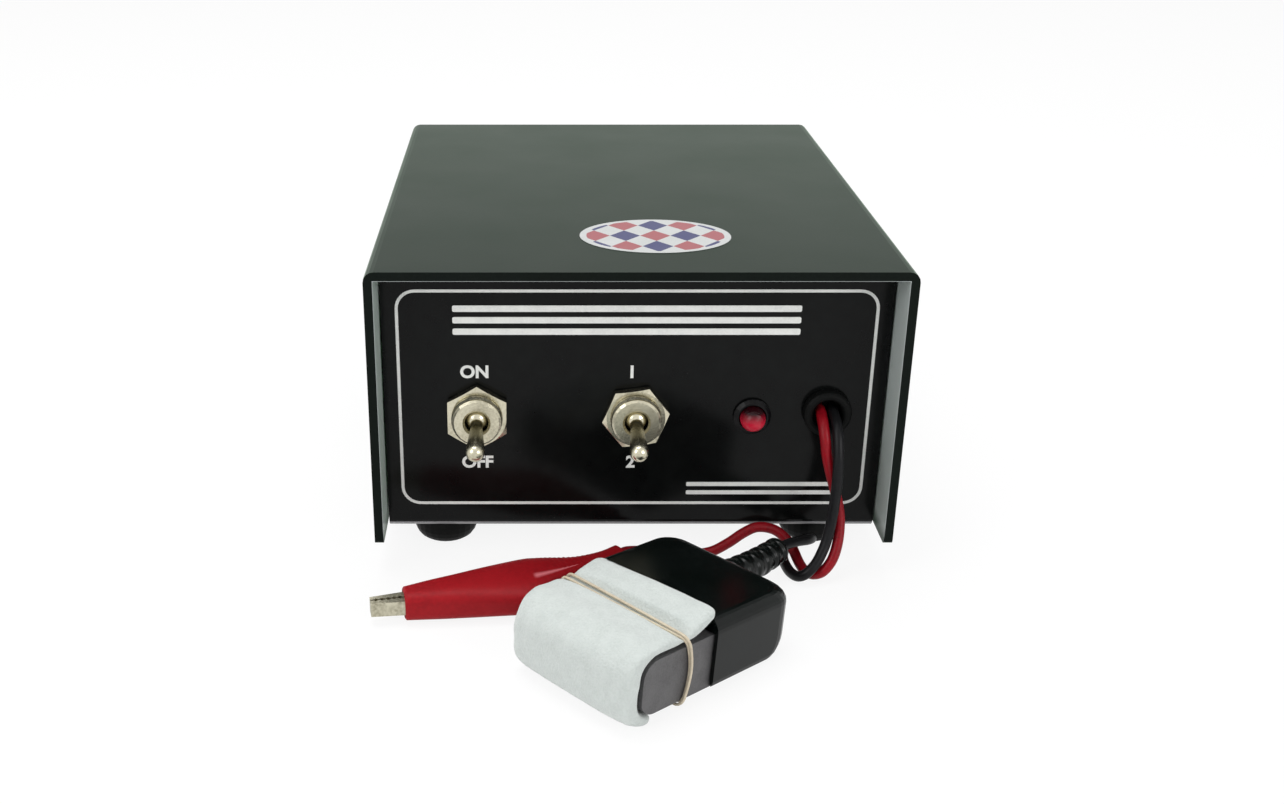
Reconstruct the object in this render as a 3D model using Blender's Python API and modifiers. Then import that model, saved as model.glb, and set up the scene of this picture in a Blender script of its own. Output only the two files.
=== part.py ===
"""Electrochemical etching machine: a small mains-powered marking unit in a two-piece sheet-metal case,
with a felt-covered carbon marking head and an insulated spring clip on two free leads.

Metres, +Z up. X runs across the front panel, Y runs from the front to the back, and Z is 0 on the table.
Everything hangs on the empty case_front, which stands at the middle of the cover's front edge.
"""

import math

import bmesh
import bpy
from mathutils import Matrix, Vector

# Gaps
FIT_GAP = 0.0003
OVERRUN = 0.004
MERGE = 0.00001

# Cover: an inverted channel of sheet aluminium
COVER_WIDTH = 0.127
COVER_DEPTH = 0.1524
COVER_HEIGHT = 0.0699
COVER_SHEET = 0.0022
COVER_BEND = 0.0025
COVER_CORNER = 0.001
COVER_LIFT = 0.001

# Chassis: floor, front panel, rear panel and two side flanges from one sheet
CHASSIS_SHEET = 0.0015
CHASSIS_BEND = 0.002
CHASSIS_SIDE_GAP = 0.0004
FRONT_RECESS = 0.011
REAR_RECESS = 0.003
FLANGE_HEIGHT = 0.013
FLANGE_SETBACK = 0.006

# Feet
FOOT_HEIGHT = 0.007
FOOT_RADIUS = 0.0082
FOOT_FLAT_RADIUS = 0.0052
FOOT_STRAIGHT = 0.0026
FOOT_SIDE_INSET = 0.0163
FOOT_INSET = 0.0108
FOOT_BORE_RADIUS = 0.0019
FOOT_POCKET_RADIUS = 0.0034
FOOT_POCKET_DEPTH = 0.0032

# Screws
SMALL_SHANK_RADIUS = 0.0014
SMALL_HEAD_RADIUS = 0.0028
SMALL_HEAD_HEIGHT = 0.0018
SMALL_SCREW_LENGTH = 0.006
FLOOR_SCREW_REACH = 0.0028
FOOT_SCREW_LENGTH = 0.0085
COVER_SCREW_SETBACK = 0.03
COVER_SCREW_HEIGHT = 0.0085

# Toggle switches
POWER_SWITCH_INSET = 0.0252
MODE_SWITCH_X = 0.0003
SWITCH_Z = 0.0379
NUT_ACROSS_FLATS = 0.0143
FRONT_NUT_THICKNESS = 0.0024
BACK_NUT_THICKNESS = 0.002
POWER_NUT_TURN = math.radians(30)
MODE_NUT_TURN = math.radians(8)
BACK_NUT_TURN = math.radians(4)
NUT_CHAMFER = 0.0006
BUSHING_RADIUS = 0.00595
BUSHING_PROUD = 0.0056
BUSHING_MOUTH_RADIUS = 0.0029
BUSHING_MOUTH_DEPTH = 0.0012
BUSHING_RIM = 0.0005
LEVER_PIVOT_DEPTH = 0.002
LEVER_BALL_RADIUS = 0.0032
LEVER_LENGTH = 0.0164
LEVER_NECK_RADIUS = 0.00155
LEVER_TIP_RADIUS = 0.00225
LEVER_TAIL_RADIUS = 0.0012
LEVER_TAIL_LENGTH = 0.0055
LEVER_TILT = math.radians(11.5)
SWITCH_PLATE = 0.001
SWITCH_CASE_WIDTH = 0.0152
SWITCH_CASE_HEIGHT = 0.028
SWITCH_CASE_DEPTH = 0.019
SWITCH_CASE_EDGE = 0.0008
LUG_WIDTH = 0.0048
LUG_LENGTH = 0.0085
LUG_THICKNESS = 0.0009
LUG_HOLE_RADIUS = 0.0011

# Indicator lamp
LAMP_INSET = 0.0347
LAMP_Z = 0.0376
LAMP_HOLE_RADIUS = 0.0039
LAMP_BEZEL_RADIUS = 0.0046
LAMP_BEZEL_PROUD = 0.0016
LAMP_BODY_DEPTH = 0.012
LAMP_LENS_RADIUS = 0.0031
LAMP_LENS_PROUD = 0.0052
LAMP_LENS_WALL = 0.0008
LAMP_BULB_RADIUS = 0.0014
LAMP_BULB_LENGTH = 0.008
LAMP_CLIP_RADIUS = 0.0065
LAMP_CLIP_THICKNESS = 0.0009

# Grommets
GROMMET_INSET = 0.0166
GROMMET_Z = 0.0389
GROMMET_RADIUS = 0.0059
GROMMET_PROUD = 0.003
GROMMET_BACK = 0.0022
GROMMET_HOLE_RADIUS = 0.0052
GROMMET_BORE_RADIUS = 0.0036
GROMMET_WEB = 0.0012
GROMMET_EDGE = 0.0011
MAINS_INSET = 0.0285
MAINS_Z = 0.024
MAINS_RADIUS = 0.0075
MAINS_HOLE_RADIUS = 0.0062
MAINS_BORE_RADIUS = 0.0042

# Transformer
CORE_WIDTH = 0.06
CORE_HEIGHT = 0.05
CORE_STACK = 0.022
CORE_LEG = 0.01
CORE_INSET = 0.05
CORE_DEPTH_SHARE = 0.577
COIL_REACH = 0.009
COIL_EDGE = 0.002
STRAP_SHEET = 0.0012
STRAP_WIDTH = 0.018
STRAP_FOOT = 0.012
CORE_LIFT = 0.0015
PART_SPACING = 0.003

# Rectifier and terminal strip
RECTIFIER_SIDE = 0.0152
RECTIFIER_HEIGHT = 0.0065
RECTIFIER_CORNER = 0.003
RECTIFIER_INSET = 0.0235
STRIP_LENGTH = 0.034
STRIP_WIDTH = 0.011
STRIP_BASE = 0.0045
STRIP_RIB = 0.005
STRIP_RIB_THICKNESS = 0.0016
STRIP_WAYS = 4
STRIP_EAR = 0.007
STRIP_INSET = 0.0235

# Marking head
HEAD_GAP = 0.00714
HEAD_X = 0.0013
HEAD_ANGLE = math.radians(42.8)
HEAD_LENGTH = 0.0508
HEAD_WIDTH = 0.0381
HEAD_CORNER_TRIM = 0.0016
HANDLE_LENGTH = 0.0265
HANDLE_TOP = 0.0193
HANDLE_PLAN_RADIUS = 0.005
HANDLE_HEEL_RADIUS = 0.0055
HANDLE_EDGE = 0.0014
HANDLE_TOP_EDGE = 0.003
SOCKET_DEPTH = 0.006
CARBON_WIDTH = 0.0357
CARBON_HEIGHT = 0.0127
CARBON_NOSE = 0.004
PAD_THICKNESS = 0.0028
PAD_WIDTH = 0.0353
PAD_UNDER_LENGTH = 0.0075
BAND_PLACE = 0.0152
BAND_WIDTH = 0.0016
BAND_THICKNESS = 0.0009
BAND_SINK = 0.0012
BAND_CORNER = 0.0022
BAND_UNDER_CORNER = 0.0006
STUD_RADIUS = 0.0015
STUD_LENGTH = 0.013
RELIEF_SIDE = 0.003
RELIEF_LEVEL = 0.012
RELIEF_RADIUS = 0.0038
RELIEF_TIP_RADIUS = 0.0029
RELIEF_GROOVE = 0.0006
RELIEF_RIBS = 6

# Spring clip
CLIP_X = -0.0448
CLIP_Y = -0.0196
CLIP_Z = 0.0042
CLIP_ANGLE = math.radians(12)
JAW_REACH = 0.018
JAW_TAIL = 0.014
JAW_TIP_WIDTH = 0.0015
JAW_BACK = 0.0031
JAW_TAIL_SPREAD = 0.0052
JAW_HALF_HEIGHT = 0.0018
JAW_WALL = 0.0008
JAW_SOLID_END = 0.005
TOOTH_PITCH = 0.0014
TOOTH_DEPTH = 0.0005
TOOTH_COUNT = 7
EAR_RADIUS = 0.0019
EAR_THICKNESS = 0.0004
EAR_CLEARANCE = 0.0002
PIN_RADIUS = 0.0008
PIN_HEAD_RADIUS = 0.0015
PIN_HEAD = 0.0005
SPRING_RADIUS = 0.0016
SPRING_WIRE_RADIUS = 0.00015
SPRING_PITCH = 0.00075
SPRING_TURNS = 1.5
SPRING_LEG = 0.008
BOOT_WALL = 0.0008
BOOT_MOUTH = 0.0099
BOOT_MOUTH_HALF_WIDTH = 0.0036
BOOT_MOUTH_HALF_HEIGHT = 0.0036
BOOT_MOUTH_SIDE = 0.0
BOOT_LOBE = 0.0195
BOOT_LOBE_HALF_WIDTH = 0.0096
BOOT_LOBE_HALF_HEIGHT = 0.0041
BOOT_LOBE_SIDE = 0.0018
BOOT_NECK = 0.0448
BOOT_NECK_SIDE = 0.012
BOOT_NECK_RADIUS = 0.0023
BOOT_NECK_ANGLE = math.radians(26)

# Leads
LEAD_RADIUS = 0.0013
LEAD_STEP = 0.0026
LEAD_SMOOTHNESS = 12

# Each lead's fall from the grommet, with X from the grommet's middle and Y and Z from case_front
BLACK_FALL = (
    (0.0015, 0.0100, 0.0389),
    (0.0016, 0.0068, 0.0382),
    (0.0016, 0.0044, 0.0368),
    (0.0017, 0.0025, 0.0345),
    (0.0017, 0.0007, 0.0303),
    (0.0016, -0.0004, 0.0251),
    (0.0013, -0.0010, 0.0200),
    (0.0008, -0.0015, 0.0149),
    (-0.0003, -0.0027, 0.0101),
)
RED_FALL = (
    (-0.0015, 0.0100, 0.0389),
    (-0.0016, 0.0069, 0.0381),
    (-0.0015, 0.0050, 0.0367),
    (-0.0012, 0.0036, 0.0343),
    (-0.0006, 0.0029, 0.0303),
    (0.0008, 0.0026, 0.0251),
    (0.0023, 0.0019, 0.0199),
    (0.0032, 0.0006, 0.0149),
    (0.0028, -0.0017, 0.0100),
)

# Each lead's way on over the table to its far end, from case_front, chosen by hand
BLACK_ROUTE = (
    (0.0455, -0.0039, 0.0077),
    (0.0441, -0.0052, 0.0056),
    (0.0424, -0.0061, 0.0039),
    (0.0410, -0.0061, 0.0027),
    (0.0397, -0.0051, 0.0019),
    (0.0386, -0.0026, 0.0015),
    (0.0380, 0.0003, 0.0015),
    (0.0378, 0.0035, 0.0015),
    (0.0382, 0.0070, 0.0015),
    (0.0397, 0.0099, 0.0017),
    (0.0424, 0.0114, 0.0025),
    (0.0447, 0.0106, 0.0038),
    (0.0453, 0.0083, 0.0051),
    (0.0437, 0.0055, 0.0062),
    (0.0404, 0.0031, 0.0070),
)
RED_ROUTE = (
    (0.0483, -0.0038, 0.0060),
    (0.0462, -0.0048, 0.0033),
    (0.0445, -0.0044, 0.0021),
    (0.0432, -0.0033, 0.0016),
    (0.0421, -0.0013, 0.0015),
    (0.0415, 0.0010, 0.0017),
    (0.0410, 0.0034, 0.0023),
    (0.0403, 0.0059, 0.0035),
    (0.0388, 0.0081, 0.0052),
    (0.0358, 0.0093, 0.0071),
    (0.0317, 0.0092, 0.0078),
    (0.0282, 0.0086, 0.0065),
    (0.0243, 0.0078, 0.0040),
    (0.0199, 0.0068, 0.0021),
    (0.0145, 0.0065, 0.0015),
    (0.0090, 0.0064, 0.0018),
    (0.0040, 0.0056, 0.0029),
)
# The strain relief's route from its root on the handle's back face, along the head, across it and upwards
RELIEF_ROUTE = (
    (0.0061, 0.0000, 0.0000),
    (0.0117, 0.0001, 0.0001),
    (0.0175, 0.0005, 0.0003),
    (0.0236, 0.0010, 0.0008),
)

# Derived places
COVER_BOTTOM = FOOT_HEIGHT + COVER_LIFT
COVER_TOP = COVER_BOTTOM + COVER_HEIGHT
CHASSIS_WIDTH = COVER_WIDTH - 2 * (COVER_SHEET + CHASSIS_SIDE_GAP)
PANEL_TOP = COVER_TOP - COVER_SHEET - FIT_GAP
REAR_FACE = COVER_DEPTH - REAR_RECESS
FLOOR_TOP = FOOT_HEIGHT + CHASSIS_SHEET
BACK_NUT_FACE = -CHASSIS_SHEET - FIT_GAP - BACK_NUT_THICKNESS
PLATE_BACK = BACK_NUT_FACE - FIT_GAP - SWITCH_PLATE
POWER_SWITCH_X = POWER_SWITCH_INSET - COVER_WIDTH / 2
LAMP_X = COVER_WIDTH / 2 - LAMP_INSET
GROMMET_X = COVER_WIDTH / 2 - GROMMET_INSET
MAINS_X = MAINS_INSET - COVER_WIDTH / 2
CORE_CENTRE_X = CORE_INSET - COVER_WIDTH / 2
CORE_CENTRE_Y = COVER_DEPTH * CORE_DEPTH_SHARE
RECTIFIER_X = COVER_WIDTH / 2 - RECTIFIER_INSET
RECTIFIER_Y = CORE_CENTRE_Y + (CORE_STACK + RECTIFIER_SIDE) / 2 + PART_SPACING
STRIP_X = COVER_WIDTH / 2 - STRIP_INSET
STRIP_Y = CORE_CENTRE_Y - (CORE_STACK + STRIP_LENGTH) / 2 - PART_SPACING
HEAD_SPAN = HEAD_LENGTH * math.sin(HEAD_ANGLE) + HEAD_WIDTH * math.cos(HEAD_ANGLE)
HEAD_Y = -HEAD_GAP - HEAD_SPAN / 2
CASE_FRONT_Y = (HEAD_GAP + HEAD_SPAN - HEAD_CORNER_TRIM - COVER_DEPTH) / 2
HEAD_NOSE = -HEAD_LENGTH / 2
HANDLE_FRONT = HEAD_LENGTH / 2 - HANDLE_LENGTH
CARBON_BOTTOM = PAD_THICKNESS + FIT_GAP
CARBON_TOP = CARBON_BOTTOM + CARBON_HEIGHT
PAD_TOP = CARBON_TOP + FIT_GAP + PAD_THICKNESS
HEAD_FOOTPRINT = HEAD_LENGTH - HANDLE_HEEL_RADIUS - PAD_UNDER_LENGTH
HEAD_TILT = math.atan2(CARBON_BOTTOM, HEAD_FOOTPRINT)
HEAD_Z = (HEAD_NOSE + PAD_UNDER_LENGTH) * math.sin(HEAD_TILT)

MATERIALS = {
    "black_enamel": ((0.030, 0.034, 0.033), 0.38, 0.0),
    "nickel_plate": ((0.62, 0.60, 0.55), 0.28, 1.0),
    "zinc_plate": ((0.55, 0.56, 0.58), 0.42, 1.0),
    "black_rubber": ((0.015, 0.015, 0.016), 0.7, 0.0),
    "switch_case": ((0.05, 0.03, 0.02), 0.5, 0.0),
    "black_plastic": ((0.012, 0.013, 0.013), 0.35, 0.0),
    "red_lens": ((0.45, 0.01, 0.03), 0.12, 0.0),
    "bulb_glass": ((0.85, 0.8, 0.7), 0.1, 0.0),
    "core_steel": ((0.20, 0.19, 0.18), 0.5, 0.8),
    "winding_tape": ((0.72, 0.55, 0.14), 0.6, 0.0),
    "carbon": ((0.12, 0.12, 0.125), 0.6, 0.1),
    "white_felt": ((0.80, 0.82, 0.81), 0.95, 0.0),
    "band_rubber": ((0.62, 0.47, 0.32), 0.6, 0.0),
    "brass": ((0.65, 0.48, 0.20), 0.3, 1.0),
    "red_vinyl": ((0.42, 0.012, 0.022), 0.35, 0.0),
    "black_vinyl": ((0.014, 0.014, 0.015), 0.4, 0.0),
}


def clear_scene():
    for thing in list(bpy.data.objects):
        bpy.data.objects.remove(thing)


def make_material(name):
    colour, roughness, metallic = MATERIALS[name]
    material = bpy.data.materials.new(name)
    material.use_nodes = True
    shader = material.node_tree.nodes["Principled BSDF"]
    shader.inputs["Base Color"].default_value = (*colour, 1)
    shader.inputs["Roughness"].default_value = roughness
    shader.inputs["Metallic"].default_value = metallic
    return material


def add_collection(name):
    collection = bpy.data.collections.new(name)
    bpy.context.scene.collection.children.link(collection)
    return collection


clear_scene()
PARTS = add_collection("etching_machine")
CUTTERS = add_collection("cutters")
FINISHES = {name: make_material(name) for name in MATERIALS}


def place(thing, parent, location=(0, 0, 0), rotation=(0, 0, 0)):
    thing.parent = parent
    thing.location = location
    thing.rotation_euler = rotation
    return thing


def add_axis(name, parent, location=(0, 0, 0), rotation=(0, 0, 0)):
    axis = bpy.data.objects.new(name, None)
    PARTS.objects.link(axis)
    return place(axis, parent, location, rotation)


def add_part(name, data, finish, parent, location=(0, 0, 0), rotation=(0, 0, 0)):
    part = bpy.data.objects.new(name, data)
    data.materials.append(FINISHES[finish])
    PARTS.objects.link(part)
    return place(part, parent, location, rotation)


def add_cutter(name, data, parent, location=(0, 0, 0), rotation=(0, 0, 0)):
    cutter = bpy.data.objects.new(name, data)
    CUTTERS.objects.link(cutter)
    cutter.hide_render = True
    cutter.display_type = "WIRE"
    return place(cutter, parent, location, rotation)


def combine(part, other, operation):
    change = part.modifiers.new(other.name, "BOOLEAN")
    change.object = other
    change.operation = operation


def cut(part, *cutters):
    for cutter in cutters:
        combine(part, cutter, "DIFFERENCE")


def finish_mesh(work, name):
    mesh = bpy.data.meshes.new(name)
    work.to_mesh(mesh)
    work.free()
    return mesh


def round_edges(part, width, segments=2, angle=math.radians(30)):
    bevel = part.modifiers.new("rounded_edges", "BEVEL")
    bevel.width = width
    bevel.segments = segments
    bevel.limit_method = "ANGLE"
    bevel.angle_limit = angle
    return bevel


def shade_round(part):
    part.data.shade_smooth()
    part.data.set_sharp_from_angle(angle=math.radians(35))


def box_mesh(name, size, centre=(0, 0, 0)):
    """A box of the given size about its centre."""
    work = bmesh.new()
    shape = Matrix.Translation(centre) @ Matrix.Diagonal((*size, 1))
    bmesh.ops.create_cube(work, size=1, matrix=shape)
    return finish_mesh(work, name)


def rod_mesh(name, radius, low, high, sides=20):
    """A rod about Z from low to high."""
    work = bmesh.new()
    middle = Matrix.Translation((0, 0, (low + high) / 2))
    bmesh.ops.create_cone(
        work, cap_ends=True, segments=sides, radius1=radius, radius2=radius, depth=high - low, matrix=middle
    )
    return finish_mesh(work, name)


def arc(centre_r, centre_z, radius_r, radius_z, start, end, steps):
    """Points of an arc or a quarter ellipse in a turned profile, from one angle to another in degrees."""
    angles = [math.radians(start + (end - start) * step / steps) for step in range(steps + 1)]
    return [(centre_r + radius_r * math.cos(a), centre_z + radius_z * math.sin(a)) for a in angles]


def turned(name, profile, finish, parent, location=(0, 0, 0), rotation=(0, 0, 0), closed=False, steps=24):
    """A turned piece: its profile of radius and height runs down the outer side and is spun about Z."""
    work = bmesh.new()
    points = [work.verts.new((radius, 0, height)) for radius, height in profile]
    ends = points[1:] + points[:1] if closed else points[1:]
    for first, second in zip(points, ends):
        work.edges.new((first, second))
    part = add_part(name, finish_mesh(work, name), finish, parent, location, rotation)
    spin = part.modifiers.new("turned", "SCREW")
    spin.steps = steps
    spin.render_steps = steps
    spin.use_merge_vertices = True
    spin.merge_threshold = MERGE
    spin.use_smooth_shade = True
    return part


def outline_mesh(name, outline, low, high):
    """A flat outline in X and Y, filled and given its thickness from low to high along Z."""
    curve = bpy.data.curves.new(name, "CURVE")
    curve.dimensions = "2D"
    curve.fill_mode = "BOTH"
    curve.extrude = (high - low) / 2
    spline = curve.splines.new("POLY")
    spline.points.add(len(outline) - 1)
    for point, (x, y) in zip(spline.points, outline):
        point.co = (x, y, 0, 1)
    spline.use_cyclic_u = True
    return curve_to_mesh(curve, name, Matrix.Translation((0, 0, (low + high) / 2)))


def curve_to_mesh(curve, name, shift=None):
    """The closed mesh of a curve, with its loose caps welded on."""
    helper = bpy.data.objects.new(name, curve)
    bpy.context.scene.collection.objects.link(helper)
    graph = bpy.context.evaluated_depsgraph_get()
    mesh = bpy.data.meshes.new_from_object(helper.evaluated_get(graph))
    bpy.data.objects.remove(helper)
    work = bmesh.new()
    work.from_mesh(mesh)
    bmesh.ops.remove_doubles(work, verts=work.verts, dist=MERGE)
    bmesh.ops.recalc_face_normals(work, faces=work.faces)
    if shift is not None:
        work.transform(shift)
    work.to_mesh(mesh)
    work.free()
    mesh.name = name
    return mesh


def hexagon(across_flats, turn=0.0):
    radius = across_flats / math.sqrt(3)
    angles = [turn + math.radians(60) * corner for corner in range(6)]
    return [(radius * math.cos(a), radius * math.sin(a)) for a in angles]


def smooth_route(route, step):
    """Points at even steps along a smooth curve through the route's own points."""
    knots = [Vector(point) for point in route]
    ends = [2 * knots[0] - knots[1]] + knots + [2 * knots[-1] - knots[-2]]
    fine = []
    for before, start, end, after in zip(ends, ends[1:], ends[2:], ends[3:]):
        for part in range(LEAD_SMOOTHNESS):
            t = part / LEAD_SMOOTHNESS
            fine.append(
                0.5
                * (
                    2 * start
                    + (end - before) * t
                    + (2 * before - 5 * start + 4 * end - after) * t**2
                    + (3 * start - before - 3 * end + after) * t**3
                )
            )
    fine.append(knots[-1])
    lengths = [(b - a).length for a, b in zip(fine, fine[1:])]
    total = sum(lengths)
    count = max(2, round(total / step))
    points = []
    walked = 0.0
    for start, end, length in zip(fine, fine[1:], lengths):
        while len(points) < count and walked + length >= total * len(points) / count:
            share = (total * len(points) / count - walked) / length
            points.append(start.lerp(end, share))
        walked += length
    return points[:count] + [fine[-1]]


def tube_curve(name, points, radius, sides_share=2, radii=None):
    """A round tube with filled ends along the points, with a share of the radius at each point."""
    curve = bpy.data.curves.new(name, "CURVE")
    curve.dimensions = "3D"
    curve.bevel_depth = radius
    curve.bevel_resolution = sides_share
    curve.use_fill_caps = True
    spline = curve.splines.new("POLY")
    spline.points.add(len(points) - 1)
    for index, (target, point) in enumerate(zip(spline.points, points)):
        target.co = (*point, 1)
        target.radius = radii[index] if radii else 1
    return curve


# Case


def make_chassis(case):
    """Floor, front and rear panels and side flanges folded from one sheet, then pierced."""
    work = bmesh.new()
    size = (CHASSIS_WIDTH, REAR_FACE - FRONT_RECESS, PANEL_TOP - FOOT_HEIGHT)
    centre = (0, (REAR_FACE + FRONT_RECESS) / 2, (PANEL_TOP + FOOT_HEIGHT) / 2)
    bmesh.ops.create_cube(work, size=1, matrix=Matrix.Translation(centre) @ Matrix.Diagonal((*size, 1)))
    sides = [face for face in work.faces if abs(face.normal.x) > 0.5 or face.normal.z > 0.5]
    bmesh.ops.delete(work, geom=sides, context="FACES")
    for station in (FRONT_RECESS + FLANGE_SETBACK, REAR_FACE - FLANGE_SETBACK):
        whole = work.verts[:] + work.edges[:] + work.faces[:]
        bmesh.ops.bisect_plane(work, geom=whole, plane_co=(0, station, 0), plane_no=(0, 1, 0))
    middle = (REAR_FACE + FRONT_RECESS) / 2
    folds = [
        edge
        for edge in work.edges
        if edge.is_boundary
        and abs(sum((v.co for v in edge.verts), Vector()).y / 2 - middle) < FLANGE_HEIGHT
        and all(abs(v.co.z - FOOT_HEIGHT) < FIT_GAP for v in edge.verts)
    ]
    raised = bmesh.ops.extrude_edge_only(work, edges=folds)["geom"]
    tops = [item for item in raised if isinstance(item, bmesh.types.BMVert)]
    bmesh.ops.translate(work, verts=tops, vec=(0, 0, FLANGE_HEIGHT))
    bmesh.ops.recalc_face_normals(work, faces=work.faces)
    chassis = add_part("chassis", finish_mesh(work, "chassis"), "black_enamel", case)
    round_edges(chassis, CHASSIS_BEND, segments=3)
    add_wall(chassis, CHASSIS_SHEET)
    cut(chassis, *chassis_holes(case))
    return chassis


def add_wall(part, thickness):
    wall = part.modifiers.new("wall", "SOLIDIFY")
    wall.thickness = thickness
    wall.offset = -1
    wall.use_even_offset = True


def chassis_holes(case):
    """The cutters of every hole in the chassis, each from the size of what passes through it."""
    facing = (math.radians(90), 0, 0)
    holes = []
    front = [(x, SWITCH_Z, BUSHING_RADIUS + FIT_GAP) for x in (POWER_SWITCH_X, MODE_SWITCH_X)]
    front += [(LAMP_X, LAMP_Z, LAMP_HOLE_RADIUS), (GROMMET_X, GROMMET_Z, GROMMET_HOLE_RADIUS)]
    for number, (x, z, radius) in enumerate(front):
        mesh = rod_mesh(f"front_hole_{number}", radius, -OVERRUN, OVERRUN, sides=24)
        holes.append(add_cutter(mesh.name, mesh, case, (x, FRONT_RECESS, z), facing))
    mesh = rod_mesh("mains_hole", MAINS_HOLE_RADIUS, -OVERRUN, OVERRUN, sides=24)
    holes.append(add_cutter(mesh.name, mesh, case, (MAINS_X, REAR_FACE, MAINS_Z), facing))
    floor = [(x, y) for x, y in foot_places()] + core_screw_places()
    floor += [(RECTIFIER_X, RECTIFIER_Y)] + strip_screw_places()
    for number, (x, y) in enumerate(floor):
        mesh = rod_mesh(f"floor_hole_{number}", SMALL_SHANK_RADIUS + FIT_GAP, -OVERRUN, OVERRUN, sides=12)
        holes.append(add_cutter(mesh.name, mesh, case, (x, y, FOOT_HEIGHT)))
    for number, (x, y, z, turn) in enumerate(cover_screw_places()):
        mesh = rod_mesh(f"flange_hole_{number}", SMALL_SHANK_RADIUS + FIT_GAP, -OVERRUN, OVERRUN, sides=12)
        side = math.copysign(CHASSIS_WIDTH / 2, x)
        holes.append(add_cutter(mesh.name, mesh, case, (side, y, z), (0, turn, 0)))
    return holes


def cover_screw_places():
    """Two screws a side, through the cover's wall into the chassis flange."""
    height = FOOT_HEIGHT + COVER_SCREW_HEIGHT
    stations = (FRONT_RECESS + COVER_SCREW_SETBACK, REAR_FACE - COVER_SCREW_SETBACK)
    return [
        (side * COVER_WIDTH / 2, station, height, side * math.radians(90))
        for side in (-1, 1)
        for station in stations
    ]


def make_cover(case):
    """The inverted channel that slides over the chassis and overhangs both panels."""
    work = bmesh.new()
    size = (COVER_WIDTH, COVER_DEPTH, COVER_HEIGHT)
    centre = (0, COVER_DEPTH / 2, (COVER_TOP + COVER_BOTTOM) / 2)
    bmesh.ops.create_cube(work, size=1, matrix=Matrix.Translation(centre) @ Matrix.Diagonal((*size, 1)))
    open_sides = [face for face in work.faces if abs(face.normal.y) > 0.5 or face.normal.z < -0.5]
    bmesh.ops.delete(work, geom=open_sides, context="FACES")
    corners = [vert for vert in work.verts if vert.co.z < COVER_BOTTOM + FIT_GAP]
    bmesh.ops.bevel(work, geom=corners, offset=COVER_CORNER, segments=3, profile=0.5, affect="VERTICES")
    cover = add_part("cover", finish_mesh(work, "cover"), "black_enamel", case)
    round_edges(cover, COVER_BEND, segments=4)
    add_wall(cover, COVER_SHEET)
    for number, (x, y, z, turn) in enumerate(cover_screw_places()):
        mesh = rod_mesh(f"cover_hole_{number}", SMALL_SHANK_RADIUS + FIT_GAP, -OVERRUN, OVERRUN, sides=12)
        cut(cover, add_cutter(mesh.name, mesh, case, (x, y, z), (0, turn, 0)))
        make_screw(f"cover_screw_{number + 1}", case, (x, y, z), (0, turn, 0), SMALL_SCREW_LENGTH)
    return cover


def make_screw(name, parent, location, rotation, length, finish="zinc_plate"):
    """A pan-head screw whose head stands off its seat along +Z."""
    seat = FIT_GAP
    crown = arc(0, seat, SMALL_HEAD_RADIUS, SMALL_HEAD_HEIGHT, 90, 0, 4)
    profile = crown + [(SMALL_SHANK_RADIUS, seat), (SMALL_SHANK_RADIUS, -length), (0, -length)]
    return turned(name, profile, finish, parent, location, rotation, steps=12)


def foot_places():
    """The four feet, the same distance in from each panel."""
    inset = FOOT_INSET
    return [
        (side * (COVER_WIDTH / 2 - FOOT_SIDE_INSET), station)
        for station in (FRONT_RECESS + inset, REAR_FACE - inset)
        for side in (-1, 1)
    ]


def make_feet(case):
    """Rubber feet with a flat sole and a pocket for the screw's head."""
    names = ("front_left", "front_right", "rear_left", "rear_right")
    top = FOOT_HEIGHT - FIT_GAP
    turn_in = FOOT_HEIGHT - FOOT_STRAIGHT
    side = arc(FOOT_FLAT_RADIUS, turn_in, FOOT_RADIUS - FOOT_FLAT_RADIUS, turn_in, 0, -90, 5)
    pocket = [
        (FOOT_POCKET_RADIUS, 0),
        (FOOT_POCKET_RADIUS, FOOT_POCKET_DEPTH),
        (FOOT_BORE_RADIUS, FOOT_POCKET_DEPTH),
        (FOOT_BORE_RADIUS, top),
    ]
    profile = [(FOOT_RADIUS, top)] + side + pocket
    for name, (x, y) in zip(names, foot_places()):
        turned(f"foot_{name}", profile, "black_rubber", case, (x, y, 0), closed=True, steps=28)
        head_down = (x, y, FOOT_POCKET_DEPTH - FIT_GAP)
        make_screw(f"foot_screw_{name}", case, head_down, (math.radians(180), 0, 0), FOOT_SCREW_LENGTH)


# Toggle switches


def make_nut(name, across, thickness, hole_radius, low, turn, parent, location=(0, 0, 0)):
    """A hexagon nut with its corners chamfered on both faces."""
    block = outline_mesh(name, hexagon(across, turn), low, low + thickness)
    nut = add_part(name, block, "nickel_plate", parent, location)
    corner = across / math.sqrt(3)
    flat = across / 2
    fall = min(NUT_CHAMFER, thickness / 3)
    profile = [
        (0, low + thickness),
        (flat, low + thickness),
        (corner + fall, low + thickness - fall),
        (corner + fall, low + fall),
        (flat, low),
        (0, low),
    ]
    blank = turned(name + "_blank", profile, "nickel_plate", parent, location, steps=36)
    CUTTERS.objects.link(blank)
    PARTS.objects.unlink(blank)
    blank.hide_render = True
    blank.display_type = "WIRE"
    combine(nut, blank, "INTERSECT")
    hole = rod_mesh(name + "_bore", hole_radius, low - OVERRUN, low + thickness + OVERRUN, sides=24)
    cut(nut, add_cutter(hole.name, hole, parent, location))
    return nut


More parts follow.
